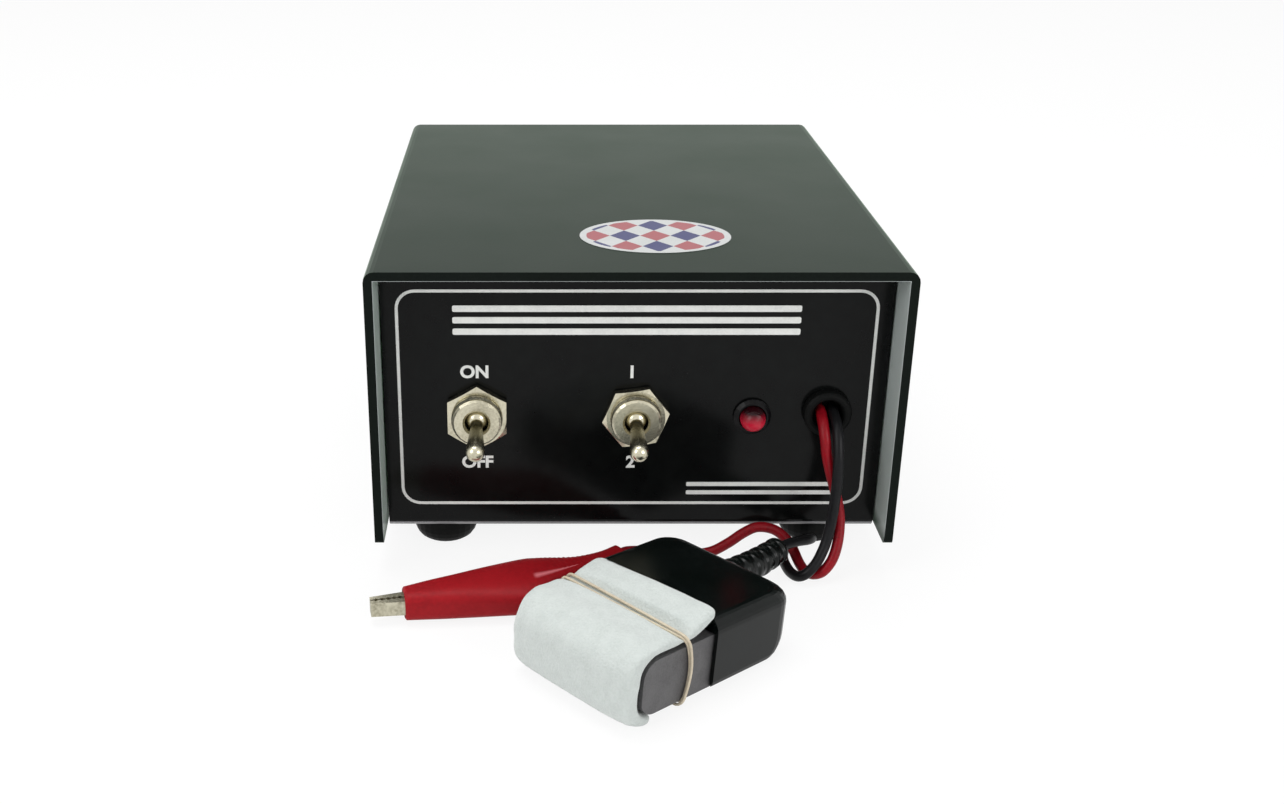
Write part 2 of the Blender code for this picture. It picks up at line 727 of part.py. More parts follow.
def make_bushing(name, axis):
    """The threaded bushing with its mouth, ball seat and the plate that carries the case."""
    bore = LEVER_BALL_RADIUS + FIT_GAP
    throat = BUSHING_PROUD - BUSHING_MOUTH_DEPTH
    profile = [
        (BUSHING_MOUTH_RADIUS + BUSHING_RIM, BUSHING_PROUD),
        (BUSHING_RADIUS - BUSHING_RIM, BUSHING_PROUD),
        (BUSHING_RADIUS, BUSHING_PROUD - BUSHING_RIM),
        (BUSHING_RADIUS, PLATE_BACK),
        (bore, PLATE_BACK),
        (bore, LEVER_PIVOT_DEPTH + FIT_GAP),
        (BUSHING_MOUTH_RADIUS, throat),
        (BUSHING_MOUTH_RADIUS, BUSHING_PROUD - BUSHING_RIM),
    ]
    bushing = turned(name, profile, "nickel_plate", axis, closed=True)
    size = (SWITCH_CASE_WIDTH, SWITCH_CASE_HEIGHT, SWITCH_PLATE)
    middle = (0, 0, PLATE_BACK + SWITCH_PLATE / 2)
    plate = add_cutter(name + "_plate", box_mesh(name + "_plate", size, middle), axis)
    hole = add_cutter(
        name + "_seat", rod_mesh(name + "_seat", bore, PLATE_BACK - OVERRUN, PLATE_BACK + OVERRUN / 2), axis
    )
    combine(bushing, plate, "UNION")
    cut(bushing, hole)
    return bushing


def make_lever(name, axis):
    """The bat lever: a waisted shank with a round end, a ball at the pivot and a short tail."""
    ball = LEVER_BALL_RADIUS
    waist = math.asin(LEVER_NECK_RADIUS / ball)
    tail = math.asin(LEVER_TAIL_RADIUS / ball)
    tip_centre = LEVER_LENGTH - LEVER_TIP_RADIUS
    profile = arc(0, tip_centre, LEVER_TIP_RADIUS, LEVER_TIP_RADIUS, 90, 0, 5)
    profile += [(LEVER_NECK_RADIUS, ball * math.cos(waist))]
    sweep = arc(0, 0, ball, ball, 90 - math.degrees(waist), -90 + math.degrees(tail), 8)
    profile += sweep[1:]
    profile += [(LEVER_TAIL_RADIUS, -LEVER_TAIL_LENGTH), (0, -LEVER_TAIL_LENGTH)]
    pivot = (0, 0, LEVER_PIVOT_DEPTH)
    return turned(name, profile, "nickel_plate", axis, pivot, (LEVER_TILT, 0, 0), steps=16)


def make_switch(prefix, case, x, nut_turn, lug_heights):
    """One toggle switch, put in from behind the panel and held by its two nuts."""
    axis = add_axis(prefix + "_axis", case, (x, FRONT_RECESS, SWITCH_Z), (math.radians(90), 0, 0))
    hole_radius = BUSHING_RADIUS + FIT_GAP
    make_bushing(prefix + "_bushing", axis)
    across = NUT_ACROSS_FLATS
    make_nut(prefix + "_front_nut", across, FRONT_NUT_THICKNESS, hole_radius, FIT_GAP, nut_turn, axis)
    back_turn = BACK_NUT_TURN
    make_nut(prefix + "_back_nut", across, BACK_NUT_THICKNESS, hole_radius, BACK_NUT_FACE, back_turn, axis)
    make_lever(prefix + "_lever", axis)
    top = PLATE_BACK - FIT_GAP
    size = (SWITCH_CASE_WIDTH, SWITCH_CASE_HEIGHT, SWITCH_CASE_DEPTH)
    name = prefix + "_case"
    case_mesh = box_mesh(name, size, (0, 0, top - SWITCH_CASE_DEPTH / 2))
    round_edges(add_part(name, case_mesh, "switch_case", axis), SWITCH_CASE_EDGE, segments=1)
    root = top - SWITCH_CASE_DEPTH - FIT_GAP
    for number, height in enumerate(lug_heights):
        make_lug(f"{prefix}_lug_{number + 1}", axis, height, root)


def make_lug(name, axis, height, root):
    """A solder lug with a round end and an eye, standing out of the switch's back."""
    half = LUG_WIDTH / 2
    straight = LUG_LENGTH - half
    outline = [(-half, 0), (half, 0)] + [
        (half * math.cos(a), straight + half * math.sin(a))
        for a in (math.radians(30) * step for step in range(7))
    ]
    lug = add_part(
        name,
        outline_mesh(name, outline, -LUG_THICKNESS / 2, LUG_THICKNESS / 2),
        "brass",
        axis,
        (0, height, root),
        (math.radians(-90), 0, 0),
    )
    eye = rod_mesh(name + "_eye", LUG_HOLE_RADIUS, -OVERRUN, OVERRUN, sides=12)
    cut(lug, add_cutter(eye.name, eye, lug, (0, straight, 0)))
    return lug


# Lamp and grommets


def make_lamp(case):
    """Bezel, domed lens, glow bulb and the spring clip that holds the lamp behind the panel."""
    axis = add_axis("lamp_axis", case, (LAMP_X, FRONT_RECESS, LAMP_Z), (math.radians(90), 0, 0))
    body = LAMP_HOLE_RADIUS - FIT_GAP
    inner = LAMP_LENS_RADIUS + FIT_GAP
    rim = LAMP_BEZEL_PROUD
    bezel = [
        (0, -LAMP_BODY_DEPTH + LAMP_LENS_WALL),
        (inner, -LAMP_BODY_DEPTH + LAMP_LENS_WALL),
        (inner, rim),
        (LAMP_BEZEL_RADIUS - rim / 2, rim),
        (LAMP_BEZEL_RADIUS, rim / 2),
        (LAMP_BEZEL_RADIUS, FIT_GAP),
        (body, FIT_GAP),
        (body, -LAMP_BODY_DEPTH),
        (0, -LAMP_BODY_DEPTH),
    ]
    turned("lamp_bezel", bezel, "black_plastic", axis)
    dome_base = LAMP_LENS_PROUD - LAMP_LENS_RADIUS
    hollow = LAMP_LENS_RADIUS - LAMP_LENS_WALL
    skirt = -LAMP_LENS_PROUD
    lens = arc(0, dome_base, LAMP_LENS_RADIUS, LAMP_LENS_RADIUS, 90, 0, 6)
    lens += [(LAMP_LENS_RADIUS, skirt), (hollow, skirt)]
    lens += arc(0, dome_base, hollow, hollow, 0, 90, 5)
    turned("lamp_lens", lens, "red_lens", axis)
    bulb_base = -LAMP_BODY_DEPTH + LAMP_LENS_WALL + FIT_GAP
    bulb_top = bulb_base + LAMP_BULB_LENGTH
    bulb = arc(0, bulb_top - LAMP_BULB_RADIUS, LAMP_BULB_RADIUS, LAMP_BULB_RADIUS, 90, 0, 3)
    bulb += [(LAMP_BULB_RADIUS, bulb_base), (0, bulb_base)]
    turned("lamp_bulb", bulb, "bulb_glass", axis, steps=12)
    clip_top = -CHASSIS_SHEET - FIT_GAP
    clip_bore = LAMP_HOLE_RADIUS
    clip_low = clip_top - LAMP_CLIP_THICKNESS
    clip = [
        (clip_bore, clip_top - LAMP_CLIP_THICKNESS / 2),
        (LAMP_CLIP_RADIUS, clip_top),
        (LAMP_CLIP_RADIUS, clip_low + LAMP_CLIP_THICKNESS / 2),
        (clip_bore, clip_low - LAMP_CLIP_THICKNESS / 2),
    ]
    turned("lamp_clip", clip, "zinc_plate", axis, closed=True)


def grommet_profile(radius, hole_radius, bore_radius, proud, back, web):
    """A rubber grommet in a sheet: rounded lips either side of a groove, with or without a web behind."""
    edge = GROMMET_EDGE
    neck = hole_radius - FIT_GAP
    groove_low = -CHASSIS_SHEET - FIT_GAP
    low = groove_low - back
    lip = arc(bore_radius + edge, proud - edge, edge, edge, 180, 90, 3)
    lip += arc(radius - edge, proud - edge, edge, edge, 90, 0, 3)
    lip += [(radius, FIT_GAP), (neck, FIT_GAP), (neck, groove_low), (radius, groove_low)]
    lip += [(radius - edge, low)]
    if web:
        return [(0, low + web), (bore_radius, low + web)] + lip + [(0, low)]
    return lip + [(bore_radius, low)]


def make_grommets(case):
    facing = (math.radians(90), 0, 0)
    lead = grommet_profile(
        GROMMET_RADIUS, GROMMET_HOLE_RADIUS, GROMMET_BORE_RADIUS, GROMMET_PROUD, GROMMET_BACK, GROMMET_WEB
    )
    turned("lead_grommet", lead, "black_rubber", case, (GROMMET_X, FRONT_RECESS, GROMMET_Z), facing)
    mains = grommet_profile(
        MAINS_RADIUS, MAINS_HOLE_RADIUS, MAINS_BORE_RADIUS, REAR_RECESS - FIT_GAP, GROMMET_BACK, 0
    )
    rearward = (math.radians(-90), 0, 0)
    mains_place = (MAINS_X, REAR_FACE, MAINS_Z)
    turned("mains_grommet", mains, "black_rubber", case, mains_place, rearward, closed=True)


# Inside the case


def core_screw_places():
    spread = CORE_WIDTH / 2 + FIT_GAP + STRAP_SHEET + STRAP_FOOT / 2
    return [(CORE_CENTRE_X + side * spread, CORE_CENTRE_Y) for side in (-1, 1)]


def make_transformer(case):
    """Laminated core with its winding on the middle leg, under a strap whose feet are screwed down."""
    base = FLOOR_TOP + CORE_LIFT
    axis = add_axis("transformer_axis", case, (CORE_CENTRE_X, CORE_CENTRE_Y, base))
    middle = CORE_HEIGHT / 2
    stack = box_mesh("core", (CORE_WIDTH, CORE_STACK, CORE_HEIGHT), (0, 0, middle))
    core = add_part("transformer_core", stack, "core_steel", axis)
    window = (CORE_WIDTH - 4 * CORE_LEG) / 2
    window_height = CORE_HEIGHT - 2 * CORE_LEG
    for side in (-1, 1):
        name = f"core_window_{side}"
        size = (window, CORE_STACK + OVERRUN, window_height)
        opening = box_mesh(name, size, (side * (CORE_LEG + window / 2), 0, middle))
        cut(core, add_cutter(name, opening, axis))
    coil_width = 2 * (CORE_LEG + window - FIT_GAP)
    coil_height = window_height - 2 * FIT_GAP
    size = (coil_width, CORE_STACK + 2 * COIL_REACH, coil_height)
    coil = add_part("transformer_coil", box_mesh("coil", size, (0, 0, middle)), "winding_tape", axis)
    round_edges(coil, COIL_EDGE, segments=2)
    leg = (2 * (CORE_LEG + FIT_GAP), CORE_STACK + 2 * FIT_GAP, CORE_HEIGHT)
    cut(coil, add_cutter("coil_bore", box_mesh("coil_bore", leg, (0, 0, middle)), axis))
    make_strap(axis)
    for number, (x, y) in enumerate(core_screw_places()):
        strap_top = FLOOR_TOP + FIT_GAP + STRAP_SHEET
        length = STRAP_SHEET + FLOOR_SCREW_REACH
        make_screw(f"transformer_screw_{number + 1}", case, (x, y, strap_top), (0, 0, 0), length)


def make_strap(axis):
    """The hat-shaped strap over the core, as an outline seen from the front."""
    inner = CORE_WIDTH / 2 + FIT_GAP
    outer = inner + STRAP_SHEET
    foot = outer + STRAP_FOOT
    low = FIT_GAP - CORE_LIFT
    sole = low + STRAP_SHEET
    top = CORE_HEIGHT + FIT_GAP
    half = [
        (inner, top),
        (inner, low),
        (foot, low),
        (foot, sole),
        (outer, sole),
        (outer, top + STRAP_SHEET),
    ]
    outline = half + [(-x, z) for x, z in reversed(half)]
    strap = add_part(
        "transformer_strap",
        outline_mesh("strap", outline, -STRAP_WIDTH / 2, STRAP_WIDTH / 2),
        "zinc_plate",
        axis,
        rotation=(math.radians(90), 0, 0),
    )
    for side in (-1, 1):
        name = f"strap_hole_{side}"
        hole = rod_mesh(name, SMALL_SHANK_RADIUS + FIT_GAP, -OVERRUN, OVERRUN, sides=12)
        cut(strap, add_cutter(name, hole, axis, (side * (outer + STRAP_FOOT / 2), 0, low)))


def make_rectifier(case):
    """A square bridge rectifier with one cut corner, screwed flat to the floor."""
    half = RECTIFIER_SIDE / 2
    corner = half - RECTIFIER_CORNER
    outline = [(-half, -half), (half, -half), (half, corner), (corner, half), (-half, half)]
    base = FLOOR_TOP + FIT_GAP
    block = add_part(
        "rectifier",
        outline_mesh("rectifier", outline, 0, RECTIFIER_HEIGHT),
        "black_plastic",
        case,
        (RECTIFIER_X, RECTIFIER_Y, base),
    )
    hole_radius = SMALL_SHANK_RADIUS + FIT_GAP
    hole = rod_mesh("rectifier_hole", hole_radius, -OVERRUN, RECTIFIER_HEIGHT + OVERRUN, sides=12)
    cut(block, add_cutter("rectifier_hole", hole, case, (RECTIFIER_X, RECTIFIER_Y, base)))
    top = (RECTIFIER_X, RECTIFIER_Y, base + RECTIFIER_HEIGHT)
    make_screw("rectifier_screw", case, top, (0, 0, 0), RECTIFIER_HEIGHT + FLOOR_SCREW_REACH)


def strip_screw_places():
    offset = (STRIP_LENGTH - STRIP_EAR) / 2
    return [(STRIP_X, STRIP_Y + side * offset) for side in (-1, 1)]


def make_terminal_strip(case):
    """A barrier strip: a base with an ear at each end and a rib between neighbouring ways."""
    span = STRIP_LENGTH - 2 * STRIP_EAR
    pitch = span / STRIP_WAYS
    top = STRIP_BASE + STRIP_RIB
    rib = STRIP_RIB_THICKNESS / 2
    outline = [(-STRIP_LENGTH / 2, 0), (STRIP_LENGTH / 2, 0), (STRIP_LENGTH / 2, STRIP_BASE)]
    for way in range(STRIP_WAYS, -1, -1):
        centre = -span / 2 + way * pitch
        outline += [(centre + rib, STRIP_BASE), (centre + rib, top)]
        outline += [(centre - rib, top), (centre - rib, STRIP_BASE)]
    outline += [(-STRIP_LENGTH / 2, STRIP_BASE)]
    base = FLOOR_TOP + FIT_GAP
    strip = add_part(
        "terminal_strip",
        outline_mesh("terminal_strip", outline, -STRIP_WIDTH / 2, STRIP_WIDTH / 2),
        "black_plastic",
        case,
        (STRIP_X, STRIP_Y, base),
        (math.radians(90), 0, math.radians(90)),
    )
    for number, (x, y) in enumerate(strip_screw_places()):
        name = f"strip_ear_hole_{number}"
        hole = rod_mesh(name, SMALL_SHANK_RADIUS + FIT_GAP, -OVERRUN, STRIP_BASE + OVERRUN, sides=12)
        cut(strip, add_cutter(name, hole, case, (x, y, base)))
        seat = (x, y, base + STRIP_BASE)
        make_screw(f"strip_screw_{number + 1}", case, seat, (0, 0, 0), STRIP_BASE + FLOOR_SCREW_REACH)


# Marking head


def make_handle(axis):
    """The moulded grip: full rounds at its back corners and heel, with a socket for the carbon block."""
    work = bmesh.new()
    rings = [[work.verts.new(point) for point in handle_ring(level)] for level in handle_levels()]
    sides = len(rings[0])
    for low, high in zip(rings, rings[1:]):
        for corner in range(sides):
            after = (corner + 1) % sides
            work.faces.new((low[corner], low[after], high[after], high[corner]))
    work.faces.new(rings[0])
    work.faces.new(rings[-1])
    bmesh.ops.recalc_face_normals(work, faces=work.faces)
    handle = add_part("head_handle", finish_mesh(work, "head_handle"), "black_plastic", axis)
    carbon_back = HANDLE_FRONT + SOCKET_DEPTH
    socket_size = (
        SOCKET_DEPTH + OVERRUN + FIT_GAP,
        CARBON_WIDTH + 2 * FIT_GAP,
        CARBON_HEIGHT + OVERRUN + FIT_GAP,
    )
    socket_top = CARBON_TOP + FIT_GAP
    socket_centre = (carbon_back + FIT_GAP - socket_size[0] / 2, 0, socket_top - socket_size[2] / 2)
    socket = add_cutter("handle_socket", box_mesh("handle_socket", socket_size, socket_centre), axis)
    level = (CARBON_BOTTOM + CARBON_TOP) / 2
    bore_radius = STUD_RADIUS + FIT_GAP
    bore = rod_mesh("handle_bore", bore_radius, 0, STUD_LENGTH + FIT_GAP, sides=12)
    turned_back = (0, math.radians(90), 0)
    cut(handle, socket, add_cutter("handle_bore", bore, axis, (carbon_back, 0, level), turned_back))
    stud_profile = [
        (0, STUD_LENGTH),
        (STUD_RADIUS, STUD_LENGTH),
        (STUD_RADIUS, -STUD_LENGTH / 2),
        (0, -STUD_LENGTH / 2),
    ]
    turned("electrode_stud", stud_profile, "brass", axis, (carbon_back, 0, level), turned_back, steps=12)
    return handle


def handle_levels():
    """Heights at which the grip's plan is taken, close together where its edges round over."""
    rises = [1 - math.cos(math.radians(15 * step)) for step in range(7)]
    heel = [CARBON_BOTTOM + HANDLE_HEEL_RADIUS * rise for rise in rises]
    brow = [HANDLE_TOP - HANDLE_TOP_EDGE * rise for rise in reversed(rises)]
    return heel + brow


def drawn_in(level, heel, brow):
    """How far the grip's side is drawn in at a height, for the round below it and the round above it."""
    below = heel - (level - CARBON_BOTTOM)
    above = brow - (HANDLE_TOP - level)
    if below > 0:
        return heel - math.sqrt(max(0, heel**2 - below**2))
    if above > 0:
        return brow - math.sqrt(max(0, brow**2 - above**2))
    return 0


def handle_ring(level):
    """The grip's plan at a height: square at the front, with full rounds at the two back corners."""
    back = HEAD_LENGTH / 2 - drawn_in(level, HANDLE_HEEL_RADIUS, HANDLE_TOP_EDGE)
    side = HEAD_WIDTH / 2 - drawn_in(level, HANDLE_EDGE, HANDLE_TOP_EDGE)
    front = HANDLE_FRONT + drawn_in(level, HANDLE_EDGE, HANDLE_EDGE) / 2
    radius = HANDLE_PLAN_RADIUS
    corner = arc(back - radius, side - radius, radius, radius, 90, 0, 6)
    half = [(front, side)] + corner
    return [(x, y, level) for x, y in half] + [(x, -y, level) for x, y in reversed(half)]


def make_carbon(axis):
    """The carbon block: rounded at its nose, seated in the handle and drilled for the stud."""
    nose = HEAD_NOSE + PAD_THICKNESS + FIT_GAP
    back = HANDLE_FRONT + SOCKET_DEPTH - FIT_GAP
    outline = rounded_nose(nose, back, CARBON_BOTTOM, CARBON_TOP, CARBON_NOSE)
    carbon = add_part(
        "carbon_block",
        outline_mesh("carbon_block", outline, -CARBON_WIDTH / 2, CARBON_WIDTH / 2),
        "carbon",
        axis,
        rotation=(math.radians(90), 0, 0),
    )
    level = (CARBON_BOTTOM + CARBON_TOP) / 2
    depth = STUD_LENGTH / 2 + FIT_GAP
    hole = rod_mesh("carbon_bore", STUD_RADIUS + FIT_GAP, -depth, OVERRUN, sides=12)
    place_at = (HANDLE_FRONT + SOCKET_DEPTH, 0, level)
    cut(carbon, add_cutter("carbon_bore", hole, axis, place_at, (0, math.radians(90), 0)))
    return carbon


def rounded_nose(nose, back, bottom, top, radius):
    """A block's side outline, square at the back and rounded top and bottom at the nose."""
    high = arc(nose + radius, top - radius, radius, radius, 90, 180, 6)
    low = arc(nose + radius, bottom + radius, radius, radius, 180, 270, 6)
    return [(back, bottom), (back, top)] + high + low


def make_pad(axis):
    """The felt: one strip folded round the block's nose, longer on top, with the band's groove."""
    nose = HEAD_NOSE
    top_end = HANDLE_FRONT - FIT_GAP
    low_end = HEAD_NOSE + PAD_UNDER_LENGTH
    outer = rounded_nose(nose, low_end, 0, PAD_TOP, CARBON_NOSE + PAD_THICKNESS)
    inner_nose = nose + PAD_THICKNESS
    inner = rounded_nose(inner_nose, low_end, PAD_THICKNESS, CARBON_TOP + FIT_GAP, CARBON_NOSE)
    over = [(top_end, CARBON_TOP + FIT_GAP), (top_end, PAD_TOP)]
    fold = [(low_end, 0)] + [(low_end, PAD_THICKNESS)] + list(reversed(inner[2:])) + over + outer[2:]
    pad = add_part(
        "felt_pad",
        outline_mesh("felt_pad", fold, -PAD_WIDTH / 2, PAD_WIDTH / 2),
        "white_felt",
        axis,
        rotation=(math.radians(90), 0, 0),
    )
    groove = band_ring("pad_groove", BAND_WIDTH / 2 + FIT_GAP, FIT_GAP)
    cut(pad, add_cutter("pad_groove", groove, axis, (HEAD_NOSE + BAND_PLACE, 0, 0)))
    return pad


def band_ring(name, half_width, margin):
    """The band's own shape, or with a margin the groove that clears it, as a mesh about X."""
    side = CARBON_WIDTH / 2 + FIT_GAP
    low = CARBON_BOTTOM - FIT_GAP - BAND_THICKNESS
    high = PAD_TOP - BAND_SINK
    under = BAND_UNDER_CORNER
    reach = BAND_THICKNESS + margin
    outer = rounded_ring(side + reach, low - margin, high + reach, under + BAND_THICKNESS)
    inner = rounded_ring(side - margin, low + reach, high - margin, under)
    turn = Matrix.Rotation(math.radians(90), 4, "Z") @ Matrix.Rotation(math.radians(90), 4, "X")
    ring = outline_mesh(name, outer, -half_width, half_width)
    core = outline_mesh(name + "_core", inner, -half_width - OVERRUN, half_width + OVERRUN)
    holder = add_cutter(name + "_ring", ring, None)
    cut(holder, add_cutter(name + "_core", core, None))
    graph = bpy.context.evaluated_depsgraph_get()
    mesh = bpy.data.meshes.new_from_object(holder.evaluated_get(graph))
    mesh.name = name
    mesh.transform(turn)
    for tool in (holder, bpy.data.objects[name + "_core"]):
        bpy.data.objects.remove(tool)
    return mesh


def rounded_ring(half_width, low, high, under):
    """An upright rectangle with full upper corners and the given radius at its lower ones."""
    full = BAND_CORNER
    corners = (
        (half_width - full, high - full, full, 0),
        (full - half_width, high - full, full, 90),
        (under - half_width, low + under, under, 180),
        (half_width - under, low + under, under, 270),
    )
    outline = []
    for x, z, radius, start in corners:
        outline += arc(x, z, radius, radius, start, start + 90, 3)
    return outline


def head_matrix():
    """The head's place from case_front: turned on the table and nosed up on its felt."""
    stand = Matrix.Translation((HEAD_X, HEAD_Y, HEAD_Z))
    return stand @ Matrix.Rotation(HEAD_ANGLE, 4, "Z") @ Matrix.Rotation(HEAD_TILT, 4, "Y")


def relief_knots():
    """The strain relief's middle line, from the handle's back face to its tip."""
    root = Vector((HEAD_LENGTH / 2 + FIT_GAP, RELIEF_SIDE, RELIEF_LEVEL))
    stand = head_matrix()
    return [stand @ root] + [stand @ (root + Vector(offset)) for offset in RELIEF_ROUTE]


def make_relief(case):
    """The ribbed strain relief that bends from the handle towards the lead."""
    fine = smooth_route(relief_knots(), LEAD_RADIUS)
    stations = 2 * RELIEF_RIBS + 3
    points = []
    radii = []
    for index in range(stations):
        share = index / (stations - 1)
        points.append(fine[round(share * (len(fine) - 1))])
        radius = RELIEF_RADIUS + (RELIEF_TIP_RADIUS - RELIEF_RADIUS) * share
        inner = 1 < index < stations - 2 and index % 2 == 0
        radii.append((radius - (RELIEF_GROOVE if inner else 0)) / RELIEF_RADIUS)
    curve = tube_curve("head_strain_relief", points, RELIEF_RADIUS, radii=radii)
    return add_part("head_strain_relief", curve, "black_rubber", case)


def make_head(case):
    axis = add_axis("head_axis", case, (HEAD_X, HEAD_Y, HEAD_Z), (0, HEAD_TILT, HEAD_ANGLE))
    make_handle(axis)
    make_carbon(axis)
    make_pad(axis)
    place_band = (HEAD_NOSE + BAND_PLACE, 0, 0)
    add_part("rubber_band", band_ring("rubber_band", BAND_WIDTH / 2, 0), "band_rubber", axis, place_band)
    make_relief(case)


# Spring clip


def jaw_outline(side):
    """One half of the clip seen along the pin: toothed grip, back edge and diverging tail."""
    edge = FIT_GAP / 2
    grip_end = -JAW_REACH + TOOTH_COUNT * TOOTH_PITCH + TOOTH_PITCH
    teeth = []
    for tooth in range(TOOTH_COUNT):
        start = -JAW_REACH + TOOTH_PITCH * (tooth + 0.5)
        shallower = 1 - (tooth / TOOTH_COUNT) ** 2 / 4
        teeth += [(start, edge), (start + TOOTH_PITCH / 2, edge + TOOTH_DEPTH * shallower)]
    spread = JAW_TAIL_SPREAD
    back = JAW_BACK
    wall = JAW_WALL
    mouth = [(-JAW_REACH, JAW_TIP_WIDTH), (-JAW_REACH, edge)] + teeth
    inside = [(grip_end, edge), (-JAW_SOLID_END + wall, back - wall)]
    inside += [(0, back - wall), (JAW_TAIL, spread - wall)]
    outside = [(JAW_TAIL, spread), (0, back), (-JAW_SOLID_END, back * 0.92)]
    return [(x, side * y) for x, y in mouth + inside + outside]


def make_jaw(name, side, ear_out, axis):
    """A stamped half: its toothed channel with two round ears that the pin passes through."""
    jaw = add_part(
        name, outline_mesh(name, jaw_outline(side), -JAW_HALF_HEIGHT, JAW_HALF_HEIGHT), "nickel_plate", axis
    )
    for level in (-1, 1):
        low = level * ear_out - (EAR_THICKNESS if level > 0 else 0)
        ear_name = f"{name}_ear_{level}"
        ear = outline_mesh(ear_name, ear_outline(side * (JAW_BACK - JAW_WALL / 2)), low, low + EAR_THICKNESS)
        combine(jaw, add_cutter(ear_name, ear, axis), "UNION")
    reach = JAW_HALF_HEIGHT + OVERRUN
    bore = rod_mesh(name + "_bore", PIN_RADIUS + FIT_GAP, -reach, reach, sides=12)
    cut(jaw, add_cutter(bore.name, bore, axis))
    return jaw


def ear_outline(reach):
    """An ear's outline: a half disc about the pin, carried straight to the jaw's back wall."""
    side = math.copysign(1, reach)
    disc = [(x, -side * y) for x, y in arc(0, 0, EAR_RADIUS, EAR_RADIUS, 0, 180, 8)]
    return disc + [(-EAR_RADIUS, reach), (EAR_RADIUS, reach)]


def make_clip_spring(axis):
    """The torsion spring round the pin, with a leg out to the inner wall of each half."""
    sides = 10
    count = round(SPRING_TURNS * sides)
    coil = []
    for index in range(count + 1):
        angle = math.radians(360) * index / sides
        level = SPRING_PITCH * (index / sides - SPRING_TURNS / 2)
        coil.append(Vector((-SPRING_RADIUS * math.sin(angle), -SPRING_RADIUS * math.cos(angle), level)))
    inner_wall = JAW_BACK - JAW_WALL + (JAW_TAIL_SPREAD - JAW_BACK) * SPRING_LEG / JAW_TAIL
    rest = inner_wall - SPRING_WIRE_RADIUS - FIT_GAP
    first = Vector((SPRING_LEG, -rest, coil[0].z))
    last = Vector((SPRING_LEG, rest, coil[-1].z))
    gaps = [(coil[index + sides] - coil[index]).length for index in range(count + 1 - sides)]
    print(f"least gap in clip_spring {(min(gaps) - 2 * SPRING_WIRE_RADIUS) * 1000:.2f} mm")
    curve = tube_curve("clip_spring", [first] + coil + [last], SPRING_WIRE_RADIUS, 1)
    return add_part("clip_spring", curve, "zinc_plate", axis)


def boot_stations():
    """Centre, heading and half sizes of the boot's rings from its mouth to its neck."""
    lobe = Vector((BOOT_LOBE, BOOT_LOBE_SIDE, 0))
    mouth = Vector((-BOOT_MOUTH, BOOT_MOUTH_SIDE, 0))
    neck = Vector((BOOT_NECK, BOOT_NECK_SIDE, 0))
    stations = []
    for step in range(7):
        share = step / 6
        width = BOOT_MOUTH_HALF_WIDTH + (BOOT_LOBE_HALF_WIDTH - BOOT_MOUTH_HALF_WIDTH) * share
        rise = (BOOT_LOBE_HALF_HEIGHT - BOOT_MOUTH_HALF_HEIGHT) * min(1, 2 * share)
        height = BOOT_MOUTH_HALF_HEIGHT + rise
        stations.append((mouth.lerp(lobe, share), 0.0, width, height))
    for step in range(1, 8):
        share = step / 7
        ease = share * share * (3 - 2 * share)
        width = BOOT_LOBE_HALF_WIDTH + (BOOT_NECK_RADIUS - BOOT_LOBE_HALF_WIDTH) * min(1, ease * 1.25)
        height = BOOT_LOBE_HALF_HEIGHT + (BOOT_NECK_RADIUS - BOOT_LOBE_HALF_HEIGHT) * ease
        centre = lobe.lerp(neck, share)
        centre.y = BOOT_LOBE_SIDE + (BOOT_NECK_SIDE - BOOT_LOBE_SIDE) * share**1.5
        stations.append((centre, BOOT_NECK_ANGLE * ease, width, height))
    return stations


def make_boot(axis):
    """The vinyl boot: rings of a rounded oblong carried from the mouth over the tails to the lead's neck."""
    sides = 24
    work = bmesh.new()
    rings = []
    for centre, heading, width, height in boot_stations():
        ring = []
        for corner in range(sides):
            angle = math.radians(360) * corner / sides
            across = math.copysign(abs(math.cos(angle)) ** 0.6, math.cos(angle)) * width
            up = math.copysign(abs(math.sin(angle)) ** 0.6, math.sin(angle)) * height
            point = centre + Vector((-math.sin(heading) * across, math.cos(heading) * across, up))
            ring.append(work.verts.new(point))
        rings.append(ring)
    for first, second in zip(rings, rings[1:]):
        for corner in range(sides):
            after = (corner + 1) % sides
            work.faces.new((first[corner], second[corner], second[after], first[after]))
    work.faces.new(rings[-1])
    bmesh.ops.recalc_face_normals(work, faces=work.faces)
    boot = add_part("clip_boot", finish_mesh(work, "clip_boot"), "red_vinyl", axis)
    add_wall(boot, BOOT_WALL)
    return boot


def make_clip(case):
    axis = add_axis("clip_axis", case, (CLIP_X, CLIP_Y, CLIP_Z), (0, 0, CLIP_ANGLE))
    outer_ear = JAW_HALF_HEIGHT
    inner_ear = outer_ear - EAR_THICKNESS - EAR_CLEARANCE
    make_jaw("clip_fixed_jaw", -1, outer_ear, axis)
    make_jaw("clip_moving_jaw", 1, inner_ear, axis)
    head_low = JAW_HALF_HEIGHT + EAR_CLEARANCE
    half = [(0, head_low + PIN_HEAD), (PIN_HEAD_RADIUS, head_low + PIN_HEAD), (PIN_HEAD_RADIUS, head_low)]
    pin = half + [(PIN_RADIUS, head_low)]
    pin += [(radius, -level) for radius, level in reversed(pin)]
    turned("clip_pin", pin, "nickel_plate", axis, steps=12)
    make_clip_spring(axis)
    make_boot(axis)


# Leads


